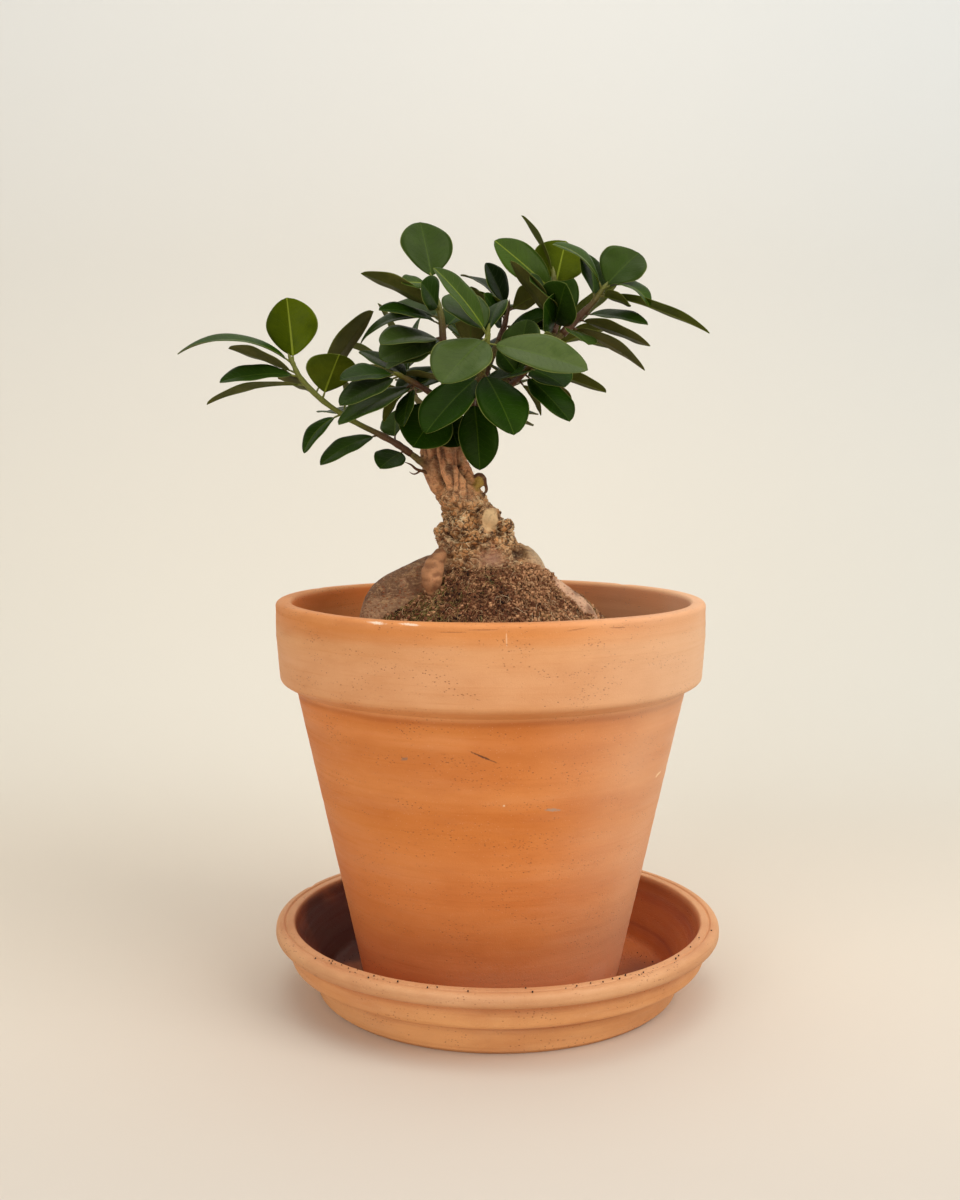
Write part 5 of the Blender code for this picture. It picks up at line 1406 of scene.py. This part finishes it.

# "youth" goes from 0, an old dark leaf, to 1, a young bright one: its bright green is partly the
# young leaf's own colour and partly painted light shining through it. A leaf is (place along the
# stem, heading, rise, length, width, roll, bend). A shoot with a seed has its leaves set by rule.
SHOOTS = {
    "shoot_left": {
        "green": [(-47, -9, 318), (-54, -11, 323), (-65, -13, 329), (-75, -16, 334),
                  (-85, -19, 340), (-97, -23, 349), (-107, -26, 360), (-111, -27, 368)],
        "radii": (1.9, 1.1),
        "leaves": [
            (1.00, 185, 5, 64, 20, -15, 75), (0.92, 170, 20, 43, 20, 20, 10),
            (1.00, 195, 85, 37, 31, 60, 10), (0.90, 200, -5, 45, 22, -25, 30),
            (0.83, 170, -10, 60, 20, 5, 30), (0.77, 135, 15, 33, 20, 35, 10),
            (0.69, 310, 55, 30, 30, -15, 15), (0.75, 40, 50, 63, 24, -55, 15),
            (0.52, 95, 45, 25, 16, 100, 20), (0.51, 115, 5, 35, 18, -10, 20),
            (0.53, 195, -45, 31, 16, -25, 60), (0.24, 205, -25, 40, 18, -25, 35),
            (0.13, 90, 50, 25, 20, -35, 10), (0.04, 230, -25, 24, 19, -25, 25)],
        "youth": [.6, .35, 1.0, .25, .6, .1, .8, 0, .5, .1, .5, .25, .5, .3],
    },
    "shoot_left_inner": {
        "green": [(-35, -23, 352), (-40, -32, 355), (-46, -42, 358), (-50, -48, 360)],
        "radii": (1.8, 1.2),
        "leaves": [
            (0.98, 200, -5, 34, 22, -25, 25), (0.97, 205, -25, 39, 23, -25, 15),
            (0.45, 210, -25, 53, 24, -15, 15), (0.60, 155, -50, 28, 18, -10, 25),
            (0.68, 140, 25, 42, 20, -10, 20), (0.52, 250, -55, 29, 17, 30, 20)],
        "youth": [.15, .1, .45, .7, .1, .1],
    },
    "shoot_centre_left": {
        "green": [(-26, -14, 366), (-27, -18, 378), (-28, -20, 393), (-31, -19, 405),
                  (-33, -18, 413)],
        "radii": (2.0, 1.2),
        "leaves": [
            (0.98, 125, 70, 38, 32, -10, 10), (0.65, 190, 25, 49, 22, 15, 20),
            (0.97, 215, 0, 21, 15, -35, 15), (0.65, 235, 40, 23, 24, -80, 20),
            (0.58, 145, 15, 37, 25, -25, 20), (0.50, 210, 10, 40, 22, -25, 35),
            (0.33, 225, -5, 47, 24, -25, 35), (0.38, 205, -20, 40, 30, -40, 15),
            (0.21, 225, -15, 44, 20, 0, 20), (0.58, 165, -15, 50, 18, -30, 75),
            (0.44, 40, 35, 32, 26, 15, 20), (0.27, 315, -10, 23, 24, 20, 25),
            (0.06, 195, -28, 32, 22, -25, 15)],
        "youth": [.2, .5, .8, .2, .3, .2, .15, .2, .15, .1, .4, .15, .2],
    },
    "shoot_front": {
        "green": [(-11, -22, 344), (-9, -34, 354), (-5, -42, 363), (-3, -48, 374),
                  (-2, -50, 382)],
        "radii": (2.0, 1.3),
        "leaves": [
            (1.00, 190, 50, 46, 22, -40, 20), (0.97, 230, -35, 46, 33, -25, 20),
            (0.96, 70, 45, 30, 22, -25, 25), (0.90, 350, -15, 57, 27, 45, 15),
            (0.52, 220, -40, 50, 30, -20, 20), (0.58, 305, -50, 46, 30, 10, 20),
            (0.18, 290, -75, 42, 24, 0, 15), (0.99, 140, 40, 37, 27, -20, 20),
            (0.34, 135, 30, 25, 26, -10, 20), (0.30, 18, 18, 40, 26, 10, 20),
            (0.26, 172, 14, 42, 26, 5, 20)],
        "youth": [.75, .2, .3, .2, .35, .35, .25, .4, .3, .15, .15],
    },
    "shoot_front_low": {
        "green": [(-26, -13, 336), (-26, -19, 342), (-25, -24, 348)],
        "radii": (1.8, 1.2),
        "leaves": [
            (1.00, 215, -50, 35, 33, -45, 15), (0.60, 300, -55, 26, 24, 40, 15)],
        "youth": [.2, .1],
    },
    "shoot_right_tip": {
        "green": [(42, 2, 387), (51, 2, 396), (59, 2, 404), (64, 2, 411)],
        "radii": (2.4, 1.2),
        "leaves": [
            (1.00, 195, 40, 39, 22, -30, 70), (0.76, 105, 70, 30, 28, 35, 15),
            (1.00, 10, 45, 31, 34, 45, 15), (1.00, 340, -20, 30, 20, 15, 110),
            (0.88, 315, -15, 24, 16, -30, 20), (0.93, 355, -20, 67, 20, -10, 20),
            (0.47, 345, -10, 39, 22, 20, 20), (0.35, 330, -20, 49, 20, -25, 10),
            (0.17, 345, -30, 51, 20, -20, 25), (0.12, 290, -20, 32, 20, -15, 15)],
        "youth": [.8, .4, .25, .7, .6, .75, .35, .1, .05, .5],
    },
    "shoot_right_top": {
        "green": [(37, 11, 388), (39, 15, 399), (38, 18, 410), (37, 20, 421)],
        "radii": (1.8, 1.2),
        "leaves": [
            (0.80, 50, 70, 30, 32, -120, 10), (0.98, 150, 60, 43, 13, 35, 20),
            (0.70, 185, 40, 47, 25, -60, 10), (0.14, 220, 45, 49, 20, -10, 10),
            (0.08, 280, 40, 36, 29, 125, 10), (0.04, 255, 25, 31, 26, -100, 10),
            (0.45, 240, 20, 36, 24, -50, 15)],
        "youth": [.85, .6, .75, 0, .35, .3, .3],
    },
    "shoot_right_low": {
        "green": [(12, -12, 357), (17, -22, 361), (21, -30, 365)],
        "radii": (1.7, 1.2),
        "leaves": [
            (0.94, 310, -20, 32, 26, 15, 20), (0.70, 320, -40, 42, 26, 10, 15),
            (0.94, 35, -35, 36, 20, 10, 25), (0.37, 335, -55, 25, 18, -30, 20),
            (0.94, 15, -15, 48, 22, -10, 15), (0.47, 195, 50, 20, 24, -55, 15),
            (0.94, 55, 30, 32, 24, -60, 15), (0.35, 60, 72, 36, 26, 0, 15),
            (0.12, 155, 32, 28, 22, 10, 15)],
        "youth": [.3, .3, .3, .5, .7, 0, .5, .2, .15],
    },
    "shoot_centre_back": {
        "green": [(5, 16, 384), (8, 20, 392), (10, 22, 402)],
        "radii": (1.8, 1.2),
        "leaves": [
            (0.92, 195, 65, 31, 22, -50, 15), (0.92, 0, 30, 22, 24, -30, 15),
            (0.67, 240, 25, 34, 16, -20, 15), (0.48, 315, -5, 32, 20, 25, 20),
            (0.34, 250, 30, 37, 14, -95, 15), (0.92, 145, 35, 41, 18, 0, 50),
            (0.20, 320, 15, 34, 24, 40, 20)],
        "youth": [0, .6, .8, .5, .3, 0, .4],
    },
    "shoot_back_left": {
        "green": [(-46, 36, 352), (-52, 46, 360), (-56, 56, 370)],
        "radii": (1.8, 1.2), "seed": 3, "count": 8,
    },
    "shoot_back": {
        "green": [(-14, 46, 370), (-12, 56, 382), (-12, 64, 396)],
        "radii": (1.8, 1.2), "seed": 5, "count": 9,
    },
    "shoot_back_right": {
        "green": [(36, 38, 380), (42, 48, 386), (46, 58, 394)],
        "radii": (1.8, 1.2), "seed": 8, "count": 8,
    },
    "shoot_back_low": {
        "green": [(-13, 32, 333), (-9, 46, 338), (-7, 58, 345)],
        "radii": (1.8, 1.2), "seed": 5, "count": 6,
    },
}


def leaves_by_rule(stem, count, seed):
    """Leaves spiral up the stem by the golden angle, and stand out from it at a tilt."""
    draw = random.Random(seed)
    axis = stem[-1] - stem[0]
    axis /= np.linalg.norm(axis)
    first = np.cross(axis, (0.0, 0.0, 1.0))
    first /= np.linalg.norm(first)
    second = np.cross(axis, first)
    leaves = []
    for index in range(count):
        turn = math.radians(LEAF_DIVERGENCE * index + draw.uniform(*TURN_RANGE))
        out = math.cos(turn) * first + math.sin(turn) * second
        tilt = math.radians(draw.uniform(*TILT_RANGE))
        reach = math.cos(tilt) * axis + math.sin(tilt) * out
        reach[2] = max(reach[2], LOWEST_REACH)
        reach /= np.linalg.norm(reach)
        heading = math.degrees(math.atan2(reach[1], reach[0]))
        rise = math.degrees(math.asin(reach[2]))
        length = draw.uniform(*LENGTH_RANGE)
        width = length * draw.uniform(*SLIMNESS_RANGE)
        place = FIRST_LEAF + (1 - FIRST_LEAF) * index / (count - 1)
        leaves.append((place, heading, rise, length, width,
                       draw.uniform(*ROLL_RANGE), draw.uniform(*BEND_RANGE)))
    return leaves


def point_along(stem, share):
    """The point at a share of the stem's length."""
    lengths = np.linalg.norm(np.diff(stem, axis=0), axis=1)
    marks = np.concatenate(([0.0], np.cumsum(lengths))) / lengths.sum()
    return np.array([np.interp(share, marks, stem[:, axis]) for axis in range(3)])


def leaf_axes(heading, rise, roll):
    """Unit vectors along the leaf, out of its upper face, and across it."""
    heading, rise, roll = math.radians(heading), math.radians(rise), math.radians(roll)
    along = np.array((math.cos(rise) * math.cos(heading), math.cos(rise) * math.sin(heading),
                      math.sin(rise)))
    level_up = np.array((0.0, 0.0, 1.0)) - along[2] * along
    level_up /= np.linalg.norm(level_up)
    level_side = np.cross(along, level_up)
    upper = level_up * math.cos(roll) + level_side * math.sin(roll)
    return along, upper, np.cross(along, upper)


def blade_half_width(t, length, width):
    """Half the blade's width at a share t of its length: broad blades widen past the middle."""
    widest = WIDEST_SHARE + BROAD_BLADE_SHIFT * min(width / length, 1.0)
    power = math.log(0.5) / math.log(widest)
    return 0.5 * width * np.maximum(np.sin(np.pi * t ** power), 0.0) ** BLADE_FULLNESS


def blade(base, heading, rise, length, width, roll, bend, look):
    """A leaf blade over a grid of t along it and s across it. Its midrib is an arc of the
    leaf's bend, its halves rise by the fold with a soft crease, and its edge waves a little.
    The upper face has a groove over the midrib and the lower face a rib under it."""
    along, upper, across = leaf_axes(heading, rise, roll)
    bend = math.radians(max(bend, 1.0))
    arc_radius = length / (2 * math.sin(bend / 2))
    petiole = min(PETIOLE_LENGTH / length, LONGEST_PETIOLE_SHARE)
    spread = np.linspace(0, 1, BLADE_ROWS)
    t, s = np.meshgrid(spread - 0.04 * np.sin(2 * np.pi * spread), np.linspace(-1, 1, BLADE_COLUMNS),
                       indexing="ij")
    s = np.sign(s) * np.abs(s) ** 1.25
    half = np.maximum(blade_half_width(t, length, width), 0.45 - 0.3 * t)
    angle = bend * (0.5 - petiole - (1 - petiole) * t)[..., None]
    middle = arc_radius * ((math.sin(bend / 2) - np.sin(angle)) * along
                           + (np.cos(angle) - math.cos(bend / 2)) * upper)
    face = np.cos(angle) * upper - np.sin(angle) * along
    crease = np.sqrt(s ** 2 + 0.01) - 0.1
    waves = (0.5 * np.sin(t * look.uniform(9, 14) + look.uniform(0, 6.3) + s * 0.8)
             * s ** 2 * np.sin(np.pi * t) * min(width / 24, 1.2))
    droop = look.uniform(0.0, 0.1) * s ** 4
    lift = half * LEAF_FOLD * crease - half * droop + waves
    ribs = np.exp(-(s * half / 0.55) ** 2) * (1 - 0.6 * t)
    thickness = LEAF_THICKNESS * (0.25 + 0.75 * np.sqrt(np.maximum(1 - s ** 2, 0))) / 2
    sheet = base + middle + across * (s * half)[..., None]
    top = sheet + face * (lift + thickness - MIDRIB_GROOVE * ribs)[..., None]
    under = sheet + face * (lift - thickness - MIDRIB_DEPTH * ribs)[..., None]
    rows, columns = t.shape
    row, column = np.meshgrid(np.arange(rows - 1), np.arange(columns - 1), indexing="ij")
    first = (row * columns + column).ravel()
    quads = np.stack([first, first + columns, first + columns + 1, first + 1], axis=1)
    count = rows * columns
    edge_row = np.arange(rows - 1) * columns
    left = np.stack([edge_row, edge_row + count, edge_row + columns + count, edge_row + columns],
                    axis=1)
    right = np.stack([edge_row + columns - 1, edge_row + 2 * columns - 1,
                      edge_row + 2 * columns - 1 + count, edge_row + columns - 1 + count], axis=1)
    edge_column = np.arange(columns - 1)
    near = np.stack([edge_column, edge_column + 1, edge_column + 1 + count, edge_column + count],
                    axis=1)
    tip = edge_column + (rows - 1) * columns
    far = np.stack([tip, tip + count, tip + 1 + count, tip + 1], axis=1)
    faces = np.vstack([quads[:, ::-1], quads + count, left[:, ::-1], right[:, ::-1], near[:, ::-1],
                       far[:, ::-1]])
    points = np.vstack([top.reshape(-1, 3), under.reshape(-1, 3)])
    blade_length = length * (1 - petiole)
    uv = np.stack([t * blade_length, s * half], axis=-1).reshape(-1, 2)
    values = {
        "edge": np.tile(np.abs(s).ravel(), 2),
        "under": np.repeat((0.0, 1.0), count),
        "share": np.tile(t.ravel(), 2),
    }
    share = petiole * np.linspace(-0.02, 1.12, 6)[:, None]
    angle = bend * (0.5 - share)
    stalk = base + arc_radius * ((math.sin(bend / 2) - np.sin(angle)) * along
                                 + (np.cos(angle) - math.cos(bend / 2)) * upper)
    return points, faces, np.tile(uv, (2, 1)), values, stalk


def leaf_finish():
    """A leaf: green by its youth and by its side, with midrib, side veins and a pale margin, a
    painted grey sheen, and painted shade over one half and in slow patches. The map's U is
    millimetres along the blade and V millimetres across it."""
    finish, tree, shader = new_finish("ficus_leaf")
    youth = attribute(tree, "youth")
    under = attribute(tree, "under")
    edge = attribute(tree, "edge")
    share_along = attribute(tree, "share")
    place = place_in_mm(tree)
    surface = add_node(tree, "UVMap", uv_map="surface")[0]
    parts = add_node(tree, "SeparateXYZ", {0: surface})
    from_rib = maths(tree, "ABSOLUTE", parts["Y"])
    wander = fractal(tree, place, scale=0.16, detail=2.0)
    ahead = maths(tree, "SUBTRACT", parts["X"], times(tree, from_rib, 0.62))
    ahead = plus(tree, ahead, times(tree, wander, 5.0))
    wave = maths(tree, "PINGPONG", maths(tree, "DIVIDE", ahead, 3.6), 0.5)
    side_vein = ranged(tree, wave, 0.06, 0.0)
    side_vein = times(tree, side_vein, ranged(tree, edge, 0.95, 0.6))
    rib_width = plus(tree, ranged(tree, share_along, 0.0, 1.0, 0.45, 0.16), times(tree, youth, 0.3))
    midrib = ranged(tree, maths(tree, "DIVIDE", from_rib, rib_width), 1.1, 0.6)
    fresh = ranged(tree, youth, 0.35, 0.95)
    old = ranged(tree, youth, 0.3, 0.0)
    upper = blended(tree, fresh, srgb(22, 51, 0), srgb(50, 76, 2))
    upper = blended(tree, old, upper, srgb(14, 34, 0))
    lower = blended(tree, fresh, srgb(96, 92, 46), srgb(72, 84, 0))
    drift = fractal(tree, place, scale=0.055, detail=3.0)
    fine = fractal(tree, place, scale=0.9, detail=4.0)
    # The grey sheen is a painted reflection: the upper face's colour is laid towards a grey-green.
    sheen = times(tree, attribute(tree, "gloss_and_sheen"), ranged(tree, drift, 0.3, 0.6, 0.55, 1.0))
    upper = blended(tree, sheen, upper, srgb(81, 96, 45))
    colour = blended(tree, under, upper, lower)
    darker = blended(tree, 1.0, colour, (0.5, 0.56, 0.45, 1), "MULTIPLY")
    # Slow darker patches, partly the leaf's own uneven tone and partly painted shade.
    colour = blended(tree, ranged(tree, drift, 0.42, 0.62, 0.0, 0.75), colour, darker)
    colour = blended(tree, ranged(tree, fine, 0.5, 0.75, 0.0, 0.25), colour, darker)
    # One half of the blade, across the midrib, is painted darker: painted shade.
    shaded_half = ranged(tree, parts["Y"], -3.0, 3.0, 0.0, 0.28)
    colour = blended(tree, shaded_half, colour, darker)
    vein_tone = blended(tree, fresh, srgb(50, 74, 8), srgb(92, 108, 18))
    colour = laid(tree, colour, side_vein, 0.25, vein_tone)
    rib_tone = blended(tree, fresh, srgb(74, 96, 26), srgb(128, 138, 40))
    rib_share = times(tree, midrib, ranged(tree, youth, 0.2, 0.9, 0.4, 0.85))
    colour = blended(tree, rib_share, colour, rib_tone)
    margin = ranged(tree, edge, 0.955, 0.99)
    colour = laid(tree, colour, margin, 0.75, srgb(126, 132, 66))
    tree.links.new(colour, shader.inputs["Base Color"])
    waxy = ranged(tree, fine, 0.3, 0.7, 0.4, 0.5)
    tree.links.new(plus(tree, waxy, times(tree, under, 0.3)), shader.inputs["Roughness"])
    shader.inputs["Specular IOR Level"].default_value = 0.12
    shader.inputs["Specular Tint"].default_value = (0.8, 1.0, 0.2, 1.0)
    shader.inputs["Coat Roughness"].default_value = 0.22
    tree.links.new(times(tree, sheen, 0.2), shader.inputs["Coat Weight"])
    ridges = times(tree, maths(tree, "SUBTRACT", times(tree, fine, 0.3), side_vein), 0.8)
    set_relief(tree, shader, ridges, 0.25)
    return finish


def stem_finish():
    """A green stem and its leaf stalks: yellow-green, browner and corky towards the wood."""
    finish, tree, shader = new_finish("green_stem")
    place = place_in_mm(tree)
    woody = attribute(tree, "woody")
    grain = fractal(tree, place, scale=1.2, detail=4.0)
    corky = specks_at(tree, place, scale=0.9, size=0.3, share=0.4)
    colour = blended(tree, woody, srgb(104, 108, 24), srgb(98, 62, 36))
    colour = blended(tree, ranged(tree, grain, 0.45, 0.75, 0.0, 0.5), colour, srgb(66, 52, 18))
    colour = laid(tree, colour, corky, 0.4, srgb(152, 134, 74))
    tree.links.new(colour, shader.inputs["Base Color"])
    tree.links.new(ranged(tree, grain, 0.3, 0.7, 0.45, 0.65), shader.inputs["Roughness"])
    set_relief(tree, shader, grain, 0.2)
    return finish


# How much grey sheen a shoot's leaves have, painted into their colour and given as a thin coat,
# and the leaves that have their own share of it.
SHEEN_SHARES = {"shoot_left": 0.26, "shoot_left_inner": 0.26, "shoot_centre_left": 0.2,
                "shoot_right_tip": 0.26, "shoot_right_top": 0.2}
GLOSSY_LEAVES = {
    ("shoot_front", 1): 0.8, ("shoot_front", 3): 1.0, ("shoot_centre_left", 0): 0.4,
    ("shoot_centre_left", 6): 0.6, ("shoot_centre_left", 7): 0.6, ("shoot_centre_left", 8): 0.6,
    ("shoot_centre_left", 4): 0.4, ("shoot_front", 7): 0.4, ("shoot_right_top", 2): 0.3,
    ("shoot_right_low", 7): 0.4, ("shoot_centre_left", 1): 0.4, ("shoot_front", 0): 0.4,
}
leaf_green = leaf_finish()
stem_green = stem_finish()
looks = random.Random(31)
for name, shoot in SHOOTS.items():
    stem = smooth_path(shoot["green"], 8)
    stem[0] += (stem[0] - stem[1]) / np.linalg.norm(stem[0] - stem[1]) * STEM_ROOTED
    seated = shoot.get("leaves") or leaves_by_rule(smooth_path(shoot["green"], 2), shoot["count"],
                                                   shoot["seed"])
    ages = shoot.get("youth") or [looks.choice((0.1, 0.2, 0.3, 0.45, 0.7)) for _ in seated]
    blades = [blade(point_along(stem, min(leaf[0], LAST_SEAT)), *leaf[1:], looks) for leaf in seated]
    blade_points, blade_faces, blade_maps, blade_values, stalks = zip(*blades)
    tip = stem[-1] - stem[-2]
    tip /= np.linalg.norm(tip)
    bud = stem[-1] + tip * np.linspace(0, BUD_LENGTH, 7)[1:, None]
    marks = np.linspace(0, 1, len(stem))
    radii = np.interp(marks, (0, 1), shoot["radii"])
    seats = np.array([leaf[0] for leaf in seated])
    nearby = np.exp(-((marks[:, None] - seats) * len(stem) / 2.2) ** 2)
    radii += NODE_SWELLING * np.max(nearby, axis=1)
    grown_stem = swept(np.vstack([stem, bud])[None], np.append(radii, BUD_RADII)[None], STEM_SIDES)
    stalk_radii = np.tile(np.array(STALK_TAPER) * PETIOLE_RADIUS, (len(stalks), 1))
    grown_stalks = swept(np.stack(stalks), stalk_radii, PETIOLE_SIDES)
    grown_blades = [(made, [quads]) for made, quads in zip(blade_points, blade_faces)]
    points, faces = stacked(grown_blades + [grown_stem, grown_stalks])
    kinds = np.arange(sum(len(block) for block in faces)) >= sum(len(quads) for quads in blade_faces)
    blade_size = len(blade_points[0])
    rest = np.zeros(len(points) - len(blades) * blade_size)
    values = {label: np.concatenate([made[label] for made in blade_values] + [rest])
              for label in ("edge", "under", "share")}
    values["youth"] = np.append(np.repeat(ages, blade_size), rest)
    values["woody"] = ramp(np.linalg.norm(points - stem[0], axis=1), *WOODY_REACH)
    usual = SHEEN_SHARES.get(name, USUAL_SHEEN)
    glossy = [GLOSSY_LEAVES.get((name, index), usual * (0.4 + 0.3 * (index * 7 % 5)))
              for index in range(len(blades))]
    values["gloss_and_sheen"] = np.append(np.repeat(glossy, blade_size), rest)
    uv = np.vstack([*blade_maps, np.zeros((len(rest), 2))])
    make_piece(name + "_growth", points, faces, [leaf_green, stem_green], "foliage", [name],
               kinds=kinds, values=values, uv=uv)


# The studio is a pale paper sweep under soft light from the front right, which throws a broad
# shadow to the left.
SWEEP_LEFT = -3.0
SWEEP_RIGHT = 3.0
SWEEP_FRONT = -2.0
SWEEP_BACK = 0.95
SWEEP_RADIUS = 0.55
SWEEP_HEIGHT = 2.6
CAMERA_PLACE = (-0.0063, -0.8325, 0.3205)
CAMERA_TILT = 6.08
CAMERA_LENS = 42.75

bend_angle = np.linspace(0, np.pi / 2, 24)
sweep_y = np.concatenate(([SWEEP_FRONT], SWEEP_BACK - SWEEP_RADIUS + SWEEP_RADIUS * np.sin(bend_angle),
                          [SWEEP_BACK]))
sweep_z = np.concatenate(([0.0], SWEEP_RADIUS * (1 - np.cos(bend_angle)), [SWEEP_HEIGHT]))
line = np.stack([np.zeros_like(sweep_y), sweep_y, sweep_z], axis=1)
sweep_points = np.vstack([line + (SWEEP_LEFT, 0, 0), line + (SWEEP_RIGHT, 0, 0)])
step = np.arange(len(line) - 1)
sweep_faces = np.stack([step, step + len(line), step + len(line) + 1, step + 1], axis=1)
sweep_mesh = bpy.data.meshes.new("paper_sweep")
sweep_mesh.from_pydata(sweep_points.tolist(), [], sweep_faces.tolist())
sweep_mesh.shade_smooth()
sweep = bpy.data.objects.new("paper_sweep", sweep_mesh)
bpy.context.scene.collection.objects.link(sweep)
paper, paper_tree, paper_shader = new_finish("pale_paper")
paper_place = add_node(paper_tree, "TexCoord")["Object"]
paper_parts = add_node(paper_tree, "SeparateXYZ", {0: paper_place})
paper_noise = fractal(paper_tree, paper_place, scale=1.5, detail=2.0)
# The paper's tones hold painted light and shade: darker towards the camera and towards the right, and
# lighter and less warm up the wall.
floor_tone = blended(paper_tree, ranged(paper_tree, paper_parts["Y"], 0.1, -0.5),
                     srgb(224, 213, 197), srgb(207, 200, 190))
wall_tone = blended(paper_tree, ranged(paper_tree, paper_parts["Z"], 0.1, 0.9),
                    srgb(228, 222, 209), srgb(231, 231, 227))
paper_tone = blended(paper_tree, ranged(paper_tree, paper_parts["Y"], 0.2, 0.7), floor_tone,
                     wall_tone)
right_side = ranged(paper_tree, paper_parts["X"], 0.0, 0.7)
paper_tone = blended(paper_tree, right_side, paper_tone,
                     blended(paper_tree, 1.0, paper_tone, (0.9, 0.93, 0.965, 1.0), "MULTIPLY"))
paper_tone = laid(paper_tree, paper_tone, paper_noise, 0.1, srgb(214, 200, 180))
paper_tree.links.new(paper_tone, paper_shader.inputs["Base Color"])
paper_shader.inputs["Roughness"].default_value = 0.9
# Seen from behind, the paper lets the camera look through to the plant.
see_through = add_node(paper_tree, "MixShader", {
    0: add_node(paper_tree, "NewGeometry")["Backfacing"], 1: paper_shader.outputs[0],
    2: add_node(paper_tree, "BsdfTransparent")[0]})[0]
paper_tree.links.new(see_through, paper_tree.nodes["Material Output"].inputs["Surface"])
sweep_mesh.materials.append(paper)


def area_light(name, place, target, size, power, colour):
    """A square soft light aimed at a point."""
    lamp = bpy.data.lights.new(name, "AREA")
    lamp.size = size
    lamp.energy = power
    lamp.color = colour
    made = bpy.data.objects.new(name, lamp)
    made.location = place
    aim = np.array(target) - np.array(place)
    made.rotation_euler = (math.atan2(math.hypot(aim[0], aim[1]), -aim[2]), 0.0,
                           math.atan2(aim[1], aim[0]) - math.pi / 2)
    bpy.context.scene.collection.objects.link(made)


area_light("key_light", (1.5, -1.1, 1.5), (0.0, 0.0, 0.2), 1.6, 28.0, (1.0, 0.985, 0.96))
area_light("top_light", (0.1, -0.1, 2.3), (0.0, 0.0, 0.0), 2.4, 26.0, (1.0, 0.99, 0.97))
area_light("fill_light", (-1.0, -1.7, 0.8), (0.0, 0.0, 0.2), 1.4, 14.5, (1.0, 0.98, 0.95))
world = bpy.data.worlds.new("studio")
world.use_nodes = True
world.node_tree.nodes["Background"].inputs["Color"].default_value = (1.0, 0.985, 0.955, 1.0)
world.node_tree.nodes["Background"].inputs["Strength"].default_value = 0.32
bpy.context.scene.world = world
bpy.context.scene.view_settings.view_transform = "Standard"

lens = bpy.data.cameras.new("photo_camera")
lens.lens = CAMERA_LENS
lens.sensor_fit = "VERTICAL"
lens.sensor_height = 36.0
camera = bpy.data.objects.new("photo_camera", lens)
camera.location = CAMERA_PLACE
camera.rotation_euler = (math.radians(90 - CAMERA_TILT), 0.0, 0.0)
bpy.context.scene.collection.objects.link(camera)
bpy.context.scene.camera = camera
